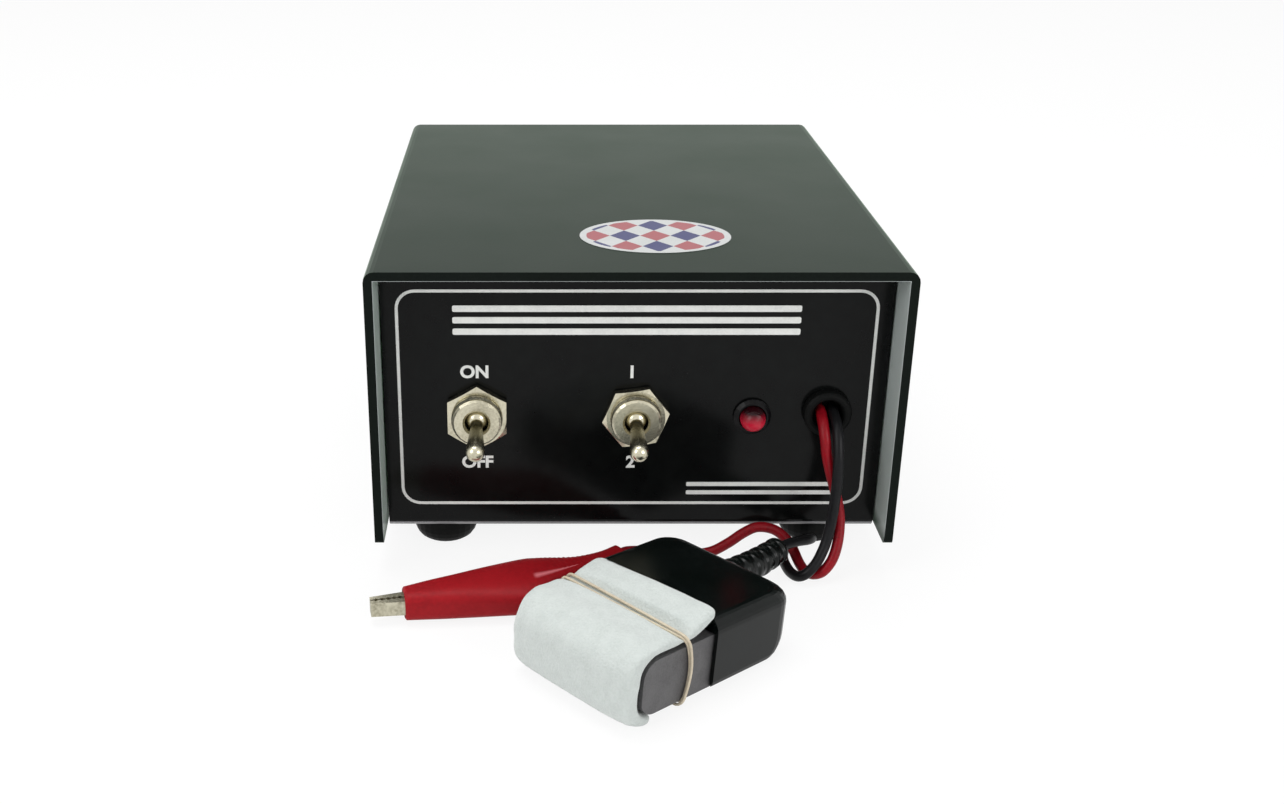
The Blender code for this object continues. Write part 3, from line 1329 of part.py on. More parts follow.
def make_leads(case):
    """Two free leads from the grommet, one to the marking head and one to the clip."""
    bore_floor = FRONT_RECESS + CHASSIS_SHEET + FIT_GAP + GROMMET_BACK - GROMMET_WEB
    before_end, relief_end = relief_knots()[-2:]
    relief_heading = (relief_end - before_end).normalized()
    neck = Matrix.Rotation(CLIP_ANGLE, 4, "Z") @ Vector((BOOT_NECK, BOOT_NECK_SIDE, 0))
    neck += Vector((CLIP_X, CLIP_Y, CLIP_Z))
    turn = CLIP_ANGLE + BOOT_NECK_ANGLE
    neck_heading = Vector((math.cos(turn), math.sin(turn), 0))
    leads = (
        ("black_lead", BLACK_FALL, BLACK_ROUTE, relief_end, relief_heading, "black_vinyl"),
        ("red_lead", RED_FALL, RED_ROUTE, neck, neck_heading, "red_vinyl"),
    )
    for name, fall, route, end, heading, finish in leads:
        hung = [(GROMMET_X + x, y, z) for x, y, z in fall]
        first = (hung[0][0], bore_floor - FIT_GAP, hung[0][2])
        seat = end + heading * FIT_GAP
        whole = (first, *hung, *route, seat + heading * 2 * LEAD_RADIUS, seat)
        curve = tube_curve(name, smooth_route(whole, LEAD_STEP), LEAD_RADIUS)
        add_part(name, curve, finish, case)


# Assembly


def build():
    case = add_axis("case_front", None, (0, CASE_FRONT_Y, 0))
    make_chassis(case)
    make_cover(case)
    make_feet(case)
    make_switch("power_switch", case, POWER_SWITCH_X, POWER_NUT_TURN, (-LUG_LENGTH, LUG_LENGTH))
    make_switch("mode_switch", case, MODE_SWITCH_X, MODE_NUT_TURN, (-LUG_LENGTH, 0, LUG_LENGTH))
    make_lamp(case)
    make_grommets(case)
    make_transformer(case)
    make_rectifier(case)
    make_terminal_strip(case)
    make_head(case)
    make_clip(case)
    make_leads(case)
    for part in PARTS.objects:
        if part.type == "MESH" and not any(item.type == "SCREW" for item in part.modifiers):
            shade_round(part)


build()
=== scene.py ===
import math

import bpy
import numpy as np
from mathutils import Matrix, Vector


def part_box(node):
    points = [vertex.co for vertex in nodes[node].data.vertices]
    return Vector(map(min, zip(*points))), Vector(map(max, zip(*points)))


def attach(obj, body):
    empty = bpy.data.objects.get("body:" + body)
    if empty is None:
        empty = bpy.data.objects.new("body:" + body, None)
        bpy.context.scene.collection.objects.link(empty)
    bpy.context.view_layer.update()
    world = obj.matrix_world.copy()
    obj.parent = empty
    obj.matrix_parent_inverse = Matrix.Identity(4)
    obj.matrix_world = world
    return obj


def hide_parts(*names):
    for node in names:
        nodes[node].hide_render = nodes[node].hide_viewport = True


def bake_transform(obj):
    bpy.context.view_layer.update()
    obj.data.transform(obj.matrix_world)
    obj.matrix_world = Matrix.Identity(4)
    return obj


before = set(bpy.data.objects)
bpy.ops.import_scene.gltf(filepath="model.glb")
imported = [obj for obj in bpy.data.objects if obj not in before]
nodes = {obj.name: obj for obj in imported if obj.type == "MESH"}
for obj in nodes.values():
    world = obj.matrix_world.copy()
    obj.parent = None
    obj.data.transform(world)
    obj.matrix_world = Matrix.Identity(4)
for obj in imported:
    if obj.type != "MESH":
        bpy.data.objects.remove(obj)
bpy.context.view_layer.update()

# The bench that the machine stands on, and the camera in front of it, a little to the left and above.
# The floor is a plain white sheet, under one broad lamp overhead and a weaker one from each side.
CAMERA_PLACE = (-0.0247, -0.3594, 0.1819)
CAMERA_TILT = math.radians(66.8)
CAMERA_LENS = 41.12
CAMERA_SENSOR = 36
CAMERA_SHIFT = 0.0849
CAMERA_NEAR = 0.01
WHITE = (1, 1, 1, 1)
SKY_LEVEL = 0.5
LAMP_AIM = (0, 0, 0.03)
# Each lamp has its place, its width and height, and its power in watts.
LAMPS = {
    "overhead_lamp": ((-0.15, 0.15, 1.1), (0.9, 0.7), 9.0),
    "left_lamp": ((-0.9, -0.7, 0.7), (0.6, 0.8), 4.3),
    "right_lamp": ((0.8, -0.8, 0.5), (0.5, 0.5), 4.0),
}
FLOOR_REACH = 3.0
FLOOR_COLOUR = (0.93, 0.93, 0.93, 1)
FLOOR_GLOW = 0.88


def add_node(tree, kind, values=None, **settings):
    """A shader node with its settings, and each input given a value or linked from another node's socket."""
    made = tree.nodes.new("ShaderNode" + kind)
    for name, value in settings.items():
        setattr(made, name, value)
    for name, value in (values or {}).items():
        if isinstance(value, bpy.types.NodeSocket):
            tree.links.new(value, made.inputs[name])
        else:
            made.inputs[name].default_value = value
    return made


def calculated(tree, operation, *values):
    """What one Math node makes of these numbers or sockets."""
    return add_node(tree, "Math", dict(enumerate(values)), operation=operation).outputs[0]


def ramp(tree, value, start, end, low=0.0, high=1.0):
    """A number that goes evenly from low to high while the value goes from start to end, and no further."""
    return add_node(tree, "MapRange", {0: value, 1: start, 2: end, 3: low, 4: high}).outputs[0]


def background_share(tree):
    """1 for rays from the camera, off gloss or through glass, which see the plain background, else 0."""
    rays = add_node(tree, "LightPath").outputs
    mirrored = calculated(tree, "MAXIMUM", rays["Is Camera Ray"], rays["Is Glossy Ray"])
    return calculated(tree, "MAXIMUM", mirrored, rays["Is Transmission Ray"])


camera_data = bpy.data.cameras.new("camera")
camera_data.sensor_width = CAMERA_SENSOR
camera_data.lens = CAMERA_LENS
camera_data.shift_x = CAMERA_SHIFT
camera_data.clip_start = CAMERA_NEAR
camera = bpy.data.objects.new("camera", camera_data)
camera.location = CAMERA_PLACE
camera.rotation_euler = (CAMERA_TILT, 0, 0)
bpy.context.scene.collection.objects.link(camera)
bpy.context.scene.camera = camera
bpy.context.scene.view_settings.view_transform = "Standard"

world = bpy.data.worlds.new("studio")
bpy.context.scene.world = world
world.use_nodes = True
sky_tree = world.node_tree
sky_tree.nodes.clear()
sky_level = ramp(sky_tree, background_share(sky_tree), 0.0, 1.0, SKY_LEVEL, 1.0)
sky = add_node(sky_tree, "Background", {"Color": WHITE, "Strength": sky_level})
add_node(sky_tree, "OutputWorld", {"Surface": sky.outputs[0]})

for name, (place, size, power) in LAMPS.items():
    lamp_data = bpy.data.lights.new(name, "AREA")
    lamp_data.shape = "RECTANGLE"
    lamp_data.size, lamp_data.size_y = size
    lamp_data.energy = power
    lamp = bpy.data.objects.new(name, lamp_data)
    lamp.location = place
    lamp.rotation_euler = (Vector(LAMP_AIM) - Vector(place)).to_track_quat("-Z", "Y").to_euler()
    bpy.context.scene.collection.objects.link(lamp)

floor_material = bpy.data.materials.new("white_sheet")
floor_material.use_nodes = True
floor_tree = floor_material.node_tree
floor_tree.nodes.clear()
floor_share = calculated(floor_tree, "MULTIPLY", background_share(floor_tree), FLOOR_GLOW)
floor_matt = add_node(floor_tree, "BsdfDiffuse", {"Color": FLOOR_COLOUR}).outputs[0]
floor_glow = add_node(floor_tree, "Emission", {"Color": WHITE, "Strength": 1.0}).outputs[0]
floor_mix = add_node(floor_tree, "MixShader", {0: floor_share, 1: floor_matt, 2: floor_glow})
add_node(floor_tree, "OutputMaterial", {"Surface": floor_mix.outputs[0]})
floor_corners = [(x * FLOOR_REACH, y * FLOOR_REACH, 0) for x, y in ((-1, -1), (1, -1), (1, 1), (-1, 1))]
floor_mesh = bpy.data.meshes.new("floor")
floor_mesh.from_pydata(floor_corners, [], [(0, 1, 2, 3)])
floor_mesh.materials.append(floor_material)
floor = bpy.data.objects.new("floor", floor_mesh)
bpy.context.scene.collection.objects.link(floor)

# The two output leads: stranded copper in soft vinyl, one black to the marking head and one red to the clip.
# Both leave the panel's grommet, fall to the bench, and end in the head's strain relief and the clip's boot.
CASE_Y = -0.0422
LEAD_RADIUS = 0.0013
LEAD_SIDES = 20
LEAD_STEP = 0.0006
LEAD_END_GAP = 0.0003
HEAD_PLACE = (0.0013, CASE_Y - 0.03838, -0.00146)
HEAD_TURN = math.radians(42.8)
HEAD_TILT = math.radians(4.69)
RELIEF_ROOT = (0.0257, 0.003, 0.012)
RELIEF_ROUTE = (
    (0, 0, 0), (0.0061, 0, 0), (0.0117, 0.0001, 0.0001), (0.0175, 0.0005, 0.0003), (0.0236, 0.001, 0.0008),
)
CLIP_PIN = (-0.0448, -0.0618, 0.0042)
CLIP_TURN = math.radians(12)
NECK_PLACE = (0.0448, 0.012, 0)
NECK_TURN = math.radians(26)
BLACK_ROUTE = (
    (0.0484, 0.0135, 0.0389), (0.0484, 0.0100, 0.0389), (0.0485, 0.0068, 0.0382),
    (0.0485, 0.0044, 0.0368), (0.0486, 0.0025, 0.0345), (0.0486, 0.0007, 0.0303),
    (0.0485, -0.0004, 0.0251), (0.0482, -0.0010, 0.0200), (0.0477, -0.0015, 0.0149),
    (0.0466, -0.0027, 0.0101), (0.0455, -0.0039, 0.0077), (0.0441, -0.0052, 0.0056),
    (0.0424, -0.0061, 0.0039), (0.0410, -0.0061, 0.0027), (0.0397, -0.0051, 0.0019),
    (0.0386, -0.0026, 0.0015), (0.0380, 0.0003, 0.0015), (0.0378, 0.0035, 0.0015),
    (0.0382, 0.0070, 0.0015), (0.0397, 0.0099, 0.0017), (0.0424, 0.0114, 0.0025),
    (0.0447, 0.0106, 0.0038), (0.0453, 0.0083, 0.0051), (0.0437, 0.0055, 0.0062),
    (0.0404, 0.0031, 0.0070),
)
RED_ROUTE = (
    (0.0454, 0.0135, 0.0389), (0.0454, 0.0100, 0.0389), (0.0453, 0.0069, 0.0381),
    (0.0454, 0.0050, 0.0367), (0.0457, 0.0036, 0.0343), (0.0463, 0.0029, 0.0303),
    (0.0477, 0.0026, 0.0251), (0.0492, 0.0019, 0.0199), (0.0501, 0.0006, 0.0149),
    (0.0497, -0.0017, 0.0100), (0.0483, -0.0038, 0.0060), (0.0462, -0.0048, 0.0033),
    (0.0445, -0.0044, 0.0021), (0.0432, -0.0033, 0.0016), (0.0421, -0.0013, 0.0015),
    (0.0415, 0.0010, 0.0017), (0.0410, 0.0034, 0.0023), (0.0403, 0.0059, 0.0035),
    (0.0388, 0.0081, 0.0052), (0.0358, 0.0093, 0.0071), (0.0317, 0.0092, 0.0078),
    (0.0282, 0.0086, 0.0065), (0.0243, 0.0078, 0.0040), (0.0199, 0.0068, 0.0021),
    (0.0145, 0.0065, 0.0015), (0.0090, 0.0064, 0.0018), (0.0040, 0.0056, 0.0029),
)
GRAIN_FINE_DETAIL, GRAIN_BROAD_DETAIL = 3.0, 4.0
GRAIN_CONTRAST = (0.12, 0.42)


def distances(points):
    """How far each point is along a line, from 0 at its first point."""
    return np.concatenate([[0], np.cumsum(np.linalg.norm(np.diff(points, axis=0), axis=1))])


def smooth_line(knots, step, parts=16):
    """A cubic curve through the knots, with half the step between a knot's neighbours as its slope there,
    taken again at even steps along its length. Values that stand after a knot's place run along with it."""
    knots = np.asarray(knots, float)
    ends = np.vstack([2 * knots[0] - knots[1], knots, 2 * knots[-1] - knots[-2]])
    t = np.linspace(0, 1, parts, endpoint=False)[None, :, None]
    before, start, end, after = (ends[i : len(ends) - 3 + i, None, :] for i in range(4))
    fine = 0.5 * (
        2 * start
        + (end - before) * t
        + (2 * before - 5 * start + 4 * end - after) * t**2
        + (3 * start - before - 3 * end + after) * t**3
    )
    fine = np.vstack([fine.reshape(-1, knots.shape[1]), knots[-1]])
    walked = distances(fine[:, :3])
    even = np.linspace(0, walked[-1], max(3, round(walked[-1] / step)))
    return np.stack([np.interp(even, walked, values) for values in fine.T], axis=1)


def unit_vectors(vectors):
    """Each vector at length 1."""
    return vectors / np.linalg.norm(vectors, axis=-1, keepdims=True)


def tube_grid(line, radius, sides):
    """Rings round the line, of one radius or one a station. The first spoke starts level and is carried
    along without twisting, less what of it points ahead, and the second is square to it and to the line."""
    ahead = unit_vectors(np.gradient(line, axis=0))
    first = np.empty_like(line)
    spoke = np.cross((0, 0, 1), ahead[0])
    for index, heading in enumerate(ahead):
        spoke = unit_vectors(spoke - heading * (spoke @ heading))
        first[index] = spoke
    second = np.cross(ahead, first)
    angle = np.linspace(0, 2 * np.pi, sides, endpoint=False)[None, :, None]
    ring = first[:, None] * np.cos(angle) + second[:, None] * np.sin(angle)
    return line[:, None] + ring * np.broadcast_to(radius, len(line))[:, None, None]


def surface_mesh(name, grid, looped=False):
    """A mesh over a grid of points whose rows are closed rings, with a UV map in metres along and around.
    The last row joins the first if it is looped, and otherwise the two end rings are filled."""
    rows, columns = grid.shape[:2]
    row, column = np.meshgrid(np.arange(rows if looped else rows - 1), np.arange(columns), indexing="ij")
    down = np.stack([row, row + 1, row + 1, row], -1)
    right = np.stack([column, column, column + 1, column + 1], -1)
    faces = ((down % rows) * columns + right % columns).reshape(-1, 4).tolist()
    row_steps = np.linalg.norm(np.diff(grid, axis=0, append=grid[:1]), axis=2).mean(axis=1)
    column_steps = np.linalg.norm(np.diff(grid, axis=1, append=grid[:, :1]), axis=2).mean(axis=0)
    along = np.concatenate([[0], np.cumsum(row_steps)])
    around = np.concatenate([[0], np.cumsum(column_steps)])
    uv = np.stack([along[down], around[right]], -1).reshape(-1, 2)
    if not looped:
        faces += [list(range(columns - 1, -1, -1)), list(range((rows - 1) * columns, rows * columns))]
        uv = np.vstack([uv, np.zeros((2 * columns, 2))])
    mesh = bpy.data.meshes.new(name)
    mesh.from_pydata(grid.reshape(-1, 3), [], faces)
    mesh.uv_layers.new(name="surface").data.foreach_set("uv", uv.astype(np.float32).ravel())
    return mesh


def add_piece(name, mesh, material, body="unit", sharp=40, turn=None):
    """The piece at the origin with its place in its mesh, riding on its body. Its faces are turned over if
    the volume between them and the origin comes out negative, so that they point outwards."""
    if turn is not None:
        mesh.transform(turn)
    places = np.empty(len(mesh.vertices) * 3, np.float32)
    mesh.vertices.foreach_get("co", places)
    mesh.calc_loop_triangles()
    corners = np.empty(len(mesh.loop_triangles) * 3, np.int32)
    mesh.loop_triangles.foreach_get("vertices", corners)
    if np.linalg.det(places.reshape(-1, 3).astype(float)[corners.reshape(-1, 3)] * 100).sum() < 0:
        mesh.flip_normals()
    mesh.materials.append(material)
    mesh.shade_smooth()
    mesh.set_sharp_from_angle(angle=math.radians(sharp))
    piece = bpy.data.objects.new(name, mesh)
    bpy.context.scene.collection.objects.link(piece)
    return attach(piece, body) if body else piece


def add_surface(name, grid, material, looped=False, **given):
    """The piece whose skin is this grid of points."""
    return add_piece(name, surface_mesh(name, grid, looped), material, **given)


def mixed(tree, share, first, second):
    """The first colour where the share is 0, the second where it is 1, and a blend between."""
    return add_node(tree, "Mix", {0: share, 6: first, 7: second}, data_type="RGBA").outputs[2]


def grain_group():
    """Two colours mixed by the product of a fine and a broad noise, a roughness that follows the broad one,
    and a bump from the fine one."""
    group = bpy.data.node_groups.new("grain", "ShaderNodeTree")
    for name, kind in (
        ("Colour", "Color"), ("Second colour", "Color"), ("Fine scale", "Float"), ("Broad scale", "Float"),
        ("Roughness", "Float"), ("Roughness spread", "Float"), ("Bump", "Float"), ("Bump depth", "Float"),
    ):
        group.interface.new_socket(name, in_out="INPUT", socket_type="NodeSocket" + kind)
    for name, kind in (("Colour", "Color"), ("Roughness", "Float"), ("Normal", "Vector")):
        group.interface.new_socket(name, in_out="OUTPUT", socket_type="NodeSocket" + kind)
    given = group.nodes.new("NodeGroupInput").outputs
    place = add_node(group, "TexCoord").outputs["Object"]
    fine, broad = (
        add_node(group, "TexNoise", {"Vector": place, "Scale": given[scale], "Detail": detail}).outputs["Fac"]
        for scale, detail in (("Fine scale", GRAIN_FINE_DETAIL), ("Broad scale", GRAIN_BROAD_DETAIL))
    )
    share = ramp(group, calculated(group, "MULTIPLY", fine, broad), *GRAIN_CONTRAST)
    colour = mixed(group, share, given["Colour"], given["Second colour"])
    shift = calculated(group, "SUBTRACT", broad, 0.5)
    rough = calculated(group, "MULTIPLY_ADD", shift, given["Roughness spread"], given["Roughness"])
    bump = {"Strength": given["Bump"], "Distance": given["Bump depth"], "Height": fine}
    out = group.nodes.new("NodeGroupOutput").inputs
    group.links.new(colour, out["Colour"])
    group.links.new(rough, out["Roughness"])
    group.links.new(add_node(group, "Bump", bump).outputs[0], out["Normal"])
    return group


GRAIN = grain_group()


def grained(name, colour, second, fine, broad, roughness, spread, bump=0.2, depth=0.00005, **plain):
    """A Principled material whose colour, roughness and normal come from the grain group, with the scales of
    its two noises. The plain values go to the shader's own sockets."""
    material = bpy.data.materials.new(name)
    material.use_nodes = True
    tree = material.node_tree
    shader = tree.nodes["Principled BSDF"]
    group = add_node(tree, "Group", {
        "Colour": (*colour, 1), "Second colour": (*second, 1), "Fine scale": fine, "Broad scale": broad,
        "Roughness": roughness, "Roughness spread": spread, "Bump": bump, "Bump depth": depth,
    }, node_tree=GRAIN)
    for output, socket in (("Colour", "Base Color"), ("Roughness", "Roughness"), ("Normal", "Normal")):
        tree.links.new(group.outputs[output], shader.inputs[socket])
    for socket, value in plain.items():
        shader.inputs[socket.replace("_", " ")].default_value = value
    return material


def in_case(points):
    """Points measured from the cover's front edge, in the shared frame."""
    return np.asarray(points, float) + (0, CASE_Y, 0)


def moved(matrix, points):
    """Points of a turned part, given in its own directions, in the shared frame."""
    matrix = np.array(matrix)
    return np.asarray(points, float) @ matrix[:3, :3].T + matrix[:3, 3]


def add_lead(name, route, end, heading, material):
    """A lead along its route, then straight into the piece that it ends in. Gives back its line as well."""
    seat = end + heading * LEAD_END_GAP
    line = smooth_line(np.vstack([in_case(route), seat + heading * 2 * LEAD_RADIUS, seat]), LEAD_STEP)
    lead = add_surface(name + "_lead_vinyl", tube_grid(line, LEAD_RADIUS, LEAD_SIDES), material)
    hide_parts(name + "_lead")
    return lead, line


vinyl_grain = {"fine": 1400, "broad": 90, "roughness": 0.36, "spread": 0.3, "bump": 0.12}
black_vinyl = grained(
    "black_vinyl", (0.005, 0.005, 0.006), (0.011, 0.011, 0.012),
    Specular_IOR_Level=0.14, **vinyl_grain,
)
red_vinyl = grained(
    "red_vinyl", (0.29, 0.004, 0.011), (0.17, 0.003, 0.007),
    Specular_IOR_Level=0.18, **vinyl_grain,
)
HEAD = Matrix.Translation(HEAD_PLACE)
HEAD = HEAD @ Matrix.Rotation(HEAD_TURN, 4, "Z") @ Matrix.Rotation(HEAD_TILT, 4, "Y")
CLIP = Matrix.Translation(CLIP_PIN) @ Matrix.Rotation(CLIP_TURN, 4, "Z")
relief_knots = moved(HEAD, np.array(RELIEF_ROUTE) + RELIEF_ROOT)
relief_heading = unit_vectors(relief_knots[-1] - relief_knots[-2])
neck_heading = np.array((math.cos(CLIP_TURN + NECK_TURN), math.sin(CLIP_TURN + NECK_TURN), 0))
black_lead, black_line = add_lead("black", BLACK_ROUTE, relief_knots[-1], relief_heading, black_vinyl)
red_lead, red_line = add_lead("red", RED_ROUTE, moved(CLIP, NECK_PLACE), neck_heading, red_vinyl)

# The chassis: one sheet of steel folded into floor, front panel, rear panel and flanges, and stoved gloss
# black. A pale band along the panel's foot is a painted highlight for light on its lower bend. The panel is
# screen printed in white with a ruled frame, switch positions and plain rules.
PANEL_FACE = CASE_Y + 0.011
PANEL_BEND_HIGHLIGHT_HEIGHT = 0.0015
PANEL_BEND_HIGHLIGHT_SHARE = 0.8
PANEL_BEND_HIGHLIGHT_COLOUR = (0.30, 0.30, 0.31)
PRINT_THICKNESS = 0.00006
PRINT_GAP = PRINT_THICKNESS / 10
FRAME_HALF_WIDTH = 0.0575
FRAME_LOW, FRAME_HIGH = 0.0134, 0.0701
FRAME_CORNER = 0.0048
FRAME_LINE = 0.00074
SWITCH_X = (-0.0383, 0.0003)
SWITCH_Z = 0.0379
LABEL_SIZE = 0.0044
LABEL_BOLDNESS_SHARE = 0.034
LABEL_CURVE_STEPS = 6
LABEL_ABOVE, LABEL_BELOW = SWITCH_Z + 0.0111, SWITCH_Z - 0.0129
# Each label has its words, its middle across the panel and its height.
LABELS = (
    ("label_on", "ON", SWITCH_X[0] - 0.0005, LABEL_ABOVE),
    ("label_off", "OFF", SWITCH_X[0] - 0.0001, LABEL_BELOW),
    ("label_one", "1", SWITCH_X[1] - 0.0011, LABEL_ABOVE),
    ("label_two", "2", SWITCH_X[1] - 0.0009, LABEL_BELOW),
)
# Each rule has its middle across and up the panel, half its length and half its width.
RULES = (
    ("title_rule_top", -0.0024, 0.0653, 0.0415, 0.0008),
    ("title_rule_middle", -0.0024, 0.0624, 0.0415, 0.0008),
    ("title_rule_bottom", -0.0024, 0.0595, 0.0415, 0.0008),
    ("corner_rule_top", 0.0327, 0.0190, 0.0192, 0.00055),
    ("corner_rule_bottom", 0.0327, 0.0167, 0.0192, 0.00055),
)
RULE_CORNER_SHARE = 0.5
RULE_MIDDLE_SHARE = 0.001


def dress(material, *names):
    """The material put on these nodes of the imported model."""
    for name in names:
        for slot in nodes[name].material_slots:
            slot.material = material


def coordinates(tree, kind="Object"):
    """The X, Y and Z of where the surface is, on the piece itself or on its UV map."""
    return add_node(tree, "SeparateXYZ", {0: add_node(tree, "TexCoord").outputs[kind]}).outputs


def tint(material, share, colour):
    """The material's base colour mixed with another one by a mask of its own nodes."""
    tree = material.node_tree
    base = tree.nodes["Principled BSDF"].inputs["Base Color"]
    tree.links.new(mixed(tree, share, base.links[0].from_socket, (*colour, 1)), base)


def rounded_ring(half_x, half_y, corner, steps=8):
    """The points of a rounded rectangle about the middle, anticlockwise, with even steps round each corner:
    a quarter circle turned by each quadrant and set at that corner's centre."""
    turn = np.radians(np.linspace(0, 90, steps + 1))
    quarter = np.stack([np.cos(turn), np.sin(turn)], 1) * corner
    ring = []
    for quadrant, side in enumerate(((1, 1), (-1, 1), (-1, -1), (1, -1))):
        cosine, sine = math.cos(quadrant * math.pi / 2), math.sin(quadrant * math.pi / 2)
        centre = np.array(side) * (half_x - corner, half_y - corner)
        ring.append(quarter @ np.array(((cosine, sine), (-sine, cosine))) + centre)
    return np.vstack(ring)


def add_print(name, outer, inner, centre):
    """A printed line between two flat rings of X and Z on the panel: a closed band of the print's thickness,
    from the outer ring's back and front to the inner ring's front and back."""
    front, back = PANEL_FACE - PRINT_THICKNESS, PANEL_FACE - PRINT_GAP
    grid = np.stack([
        np.stack([ring[:, 0] + centre[0], np.full(len(ring), y), ring[:, 1] + centre[1]], 1)
        for ring, y in ((outer, back), (outer, front), (inner, front), (inner, back))
    ])
    add_surface(name, grid, white_print, looped=True)


def add_label(name, words, x, z):
    """Bold upright letters on the panel, made a mesh of the print's thickness before they are placed."""
    text = bpy.data.curves.new(name, "FONT")
    text.body = words
    text.size = LABEL_SIZE
    text.offset = LABEL_SIZE * LABEL_BOLDNESS_SHARE
    text.extrude = PRINT_THICKNESS / 2
    text.resolution_u = LABEL_CURVE_STEPS
    text.align_x = "CENTER"
    text.align_y = "CENTER"
    holder = bpy.data.objects.new(name, text)
    bpy.context.scene.collection.objects.link(holder)
    mesh = bpy.data.meshes.new_from_object(holder.evaluated_get(bpy.context.evaluated_depsgraph_get()))
    bpy.data.objects.remove(holder)
    mesh.materials.clear()
    place = Matrix.Translation((x, PANEL_FACE - PRINT_GAP - PRINT_THICKNESS / 2, z))
    label = add_piece(name, mesh, white_print, turn=place @ Matrix.Rotation(math.radians(90), 4, "X"))


panel_enamel = grained(
    "panel_enamel", (0.0028, 0.0030, 0.0031), (0.0048, 0.0054, 0.0052),
    fine=260, broad=45, roughness=0.16, spread=0.10, bump=0.04, Specular_IOR_Level=0.12,
)
panel_foot = float(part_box("chassis")[0][2])
# Painted highlight: the enamel turns pale grey along the panel's foot, standing in for light on the lower
# bend.
panel_bend_highlight = ramp(panel_enamel.node_tree, coordinates(panel_enamel.node_tree)["Z"],
                  panel_foot + PANEL_BEND_HIGHLIGHT_HEIGHT, panel_foot + PANEL_BEND_HIGHLIGHT_HEIGHT * PANEL_BEND_HIGHLIGHT_SHARE)
tint(panel_enamel, panel_bend_highlight, PANEL_BEND_HIGHLIGHT_COLOUR)
dress(panel_enamel, "chassis")
white_print = grained(
    "white_print", (0.78, 0.79, 0.76), (0.66, 0.67, 0.65),
    fine=3500, broad=300, roughness=0.5, spread=0.2, bump=0.1,
)
frame_half = (FRAME_HIGH - FRAME_LOW) / 2
add_print(
    "print_frame",
    rounded_ring(FRAME_HALF_WIDTH, frame_half, FRAME_CORNER),
    rounded_ring(FRAME_HALF_WIDTH - FRAME_LINE, frame_half - FRAME_LINE, FRAME_CORNER - FRAME_LINE),
    (0, FRAME_LOW + frame_half),
)
for name, words, x, z in LABELS:
    add_label(name, words, x, z)
for name, x, z, half_length, half_width in RULES:
    rule = rounded_ring(half_length, half_width, half_width * RULE_CORNER_SHARE, steps=3)
    add_print(name, rule, rule * RULE_MIDDLE_SHARE, (x, z))

# The cover: an inverted channel of sheet metal in dark satin enamel, slid over the chassis and pale with
# primer inside. The primer fades to the dark enamel towards the hem as painted shade. A pan-head screw holds
# each corner to the chassis flanges.
COVER_SHEET = 0.0022
COVER_MARGIN = 0.00008
PRIMER_SHADE_FADE = (0.0012, 0.0045)
PRIMER_COLOUR = (0.43, 0.46, 0.46)
cover_enamel = grained(
    "cover_enamel", (0.0032, 0.0054, 0.0042), (0.0055, 0.0084, 0.0068),
    fine=1500, broad=40, roughness=0.32, spread=0.12, bump=0.25, depth=0.00003,
    Specular_IOR_Level=0.06, Sheen_Weight=0.12, Sheen_Tint=(0.20, 1.0, 0.27, 1), Sheen_Roughness=0.3,
)
cover_tree = cover_enamel.node_tree
cover_place = coordinates(cover_tree)
cover_low, cover_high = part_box("cover")
inner_side = float(cover_high[0]) - COVER_SHEET + COVER_MARGIN
inner_top = float(cover_high[2]) - COVER_SHEET + COVER_MARGIN
from_middle = calculated(cover_tree, "ABSOLUTE", cover_place["X"])
between_walls = calculated(cover_tree, "LESS_THAN", from_middle, inner_side)
under_top = calculated(cover_tree, "LESS_THAN", cover_place["Z"], inner_top)
# Painted shade: the pale primer fades out towards the lower edge, where the recess below the panel is dark.
primer_above_shade = ramp(cover_tree, cover_place["Z"], *(float(cover_low[2]) + height for height in PRIMER_SHADE_FADE))
inside = calculated(cover_tree, "MULTIPLY", between_walls, under_top)
tint(cover_enamel, calculated(cover_tree, "MULTIPLY", inside, primer_above_shade), PRIMER_COLOUR)
dress(cover_enamel, "cover")
screw_plate = grained(
    "screw_plate", (0.55, 0.56, 0.57), (0.38, 0.39, 0.41),
    fine=1800, broad=200, roughness=0.34, spread=0.3, Metallic=1.0,
)
dress(screw_plate, *[f"cover_screw_{number}" for number in range(1, 5)])

# The sticker: an oval of printed vinyl on the cover's top, towards the front. It has a white rim round a
# plain lattice of red and blue lozenges.
STICKER_HALF = (0.0185, 0.014)
STICKER_PLACE = (0.0052, CASE_Y + 0.0285, 0.07793)
STICKER_THICKNESS = 0.00008
STICKER_BACK_SHARE = 0.1
STICKER_HUB_SHARE = 0.02
STICKER_PRINT_SHARE = 0.91
STICKER_RED = (0.30, 0.075, 0.085)
STICKER_BLUE = (0.03, 0.034, 0.12)
LOZENGES_ACROSS, LOZENGES_UP, LOZENGE_SHIFT = 1.25, 0.8, 0.25


def oval_grid(rings=6, sides=96):
    """A thin oval plate as rings: out over its top from a small hub, down its edge and back below."""
    angle = np.linspace(0, 2 * np.pi, sides, endpoint=False)
    oval = np.stack([STICKER_HALF[0] * np.cos(angle), STICKER_HALF[1] * np.sin(angle), 0 * angle], 1)
    shares = np.linspace(STICKER_HUB_SHARE, 1, rings)[:, None, None]
    top = shares * oval + np.array((0, 0, STICKER_THICKNESS))
    return np.vstack([top, top[::-1] * (1, 1, STICKER_BACK_SHARE)])


sticker_print = grained(
    "sticker_print", (0.50, 0.51, 0.51), (0.44, 0.46, 0.45),
    fine=2000, broad=90, roughness=0.32, spread=0.12, bump=0.03, Specular_IOR_Level=0.15,
)


def sticker_sum(operation, *values):
    """What one Math node of the sticker's material makes of these."""
    return calculated(sticker_print.node_tree, operation, *values)


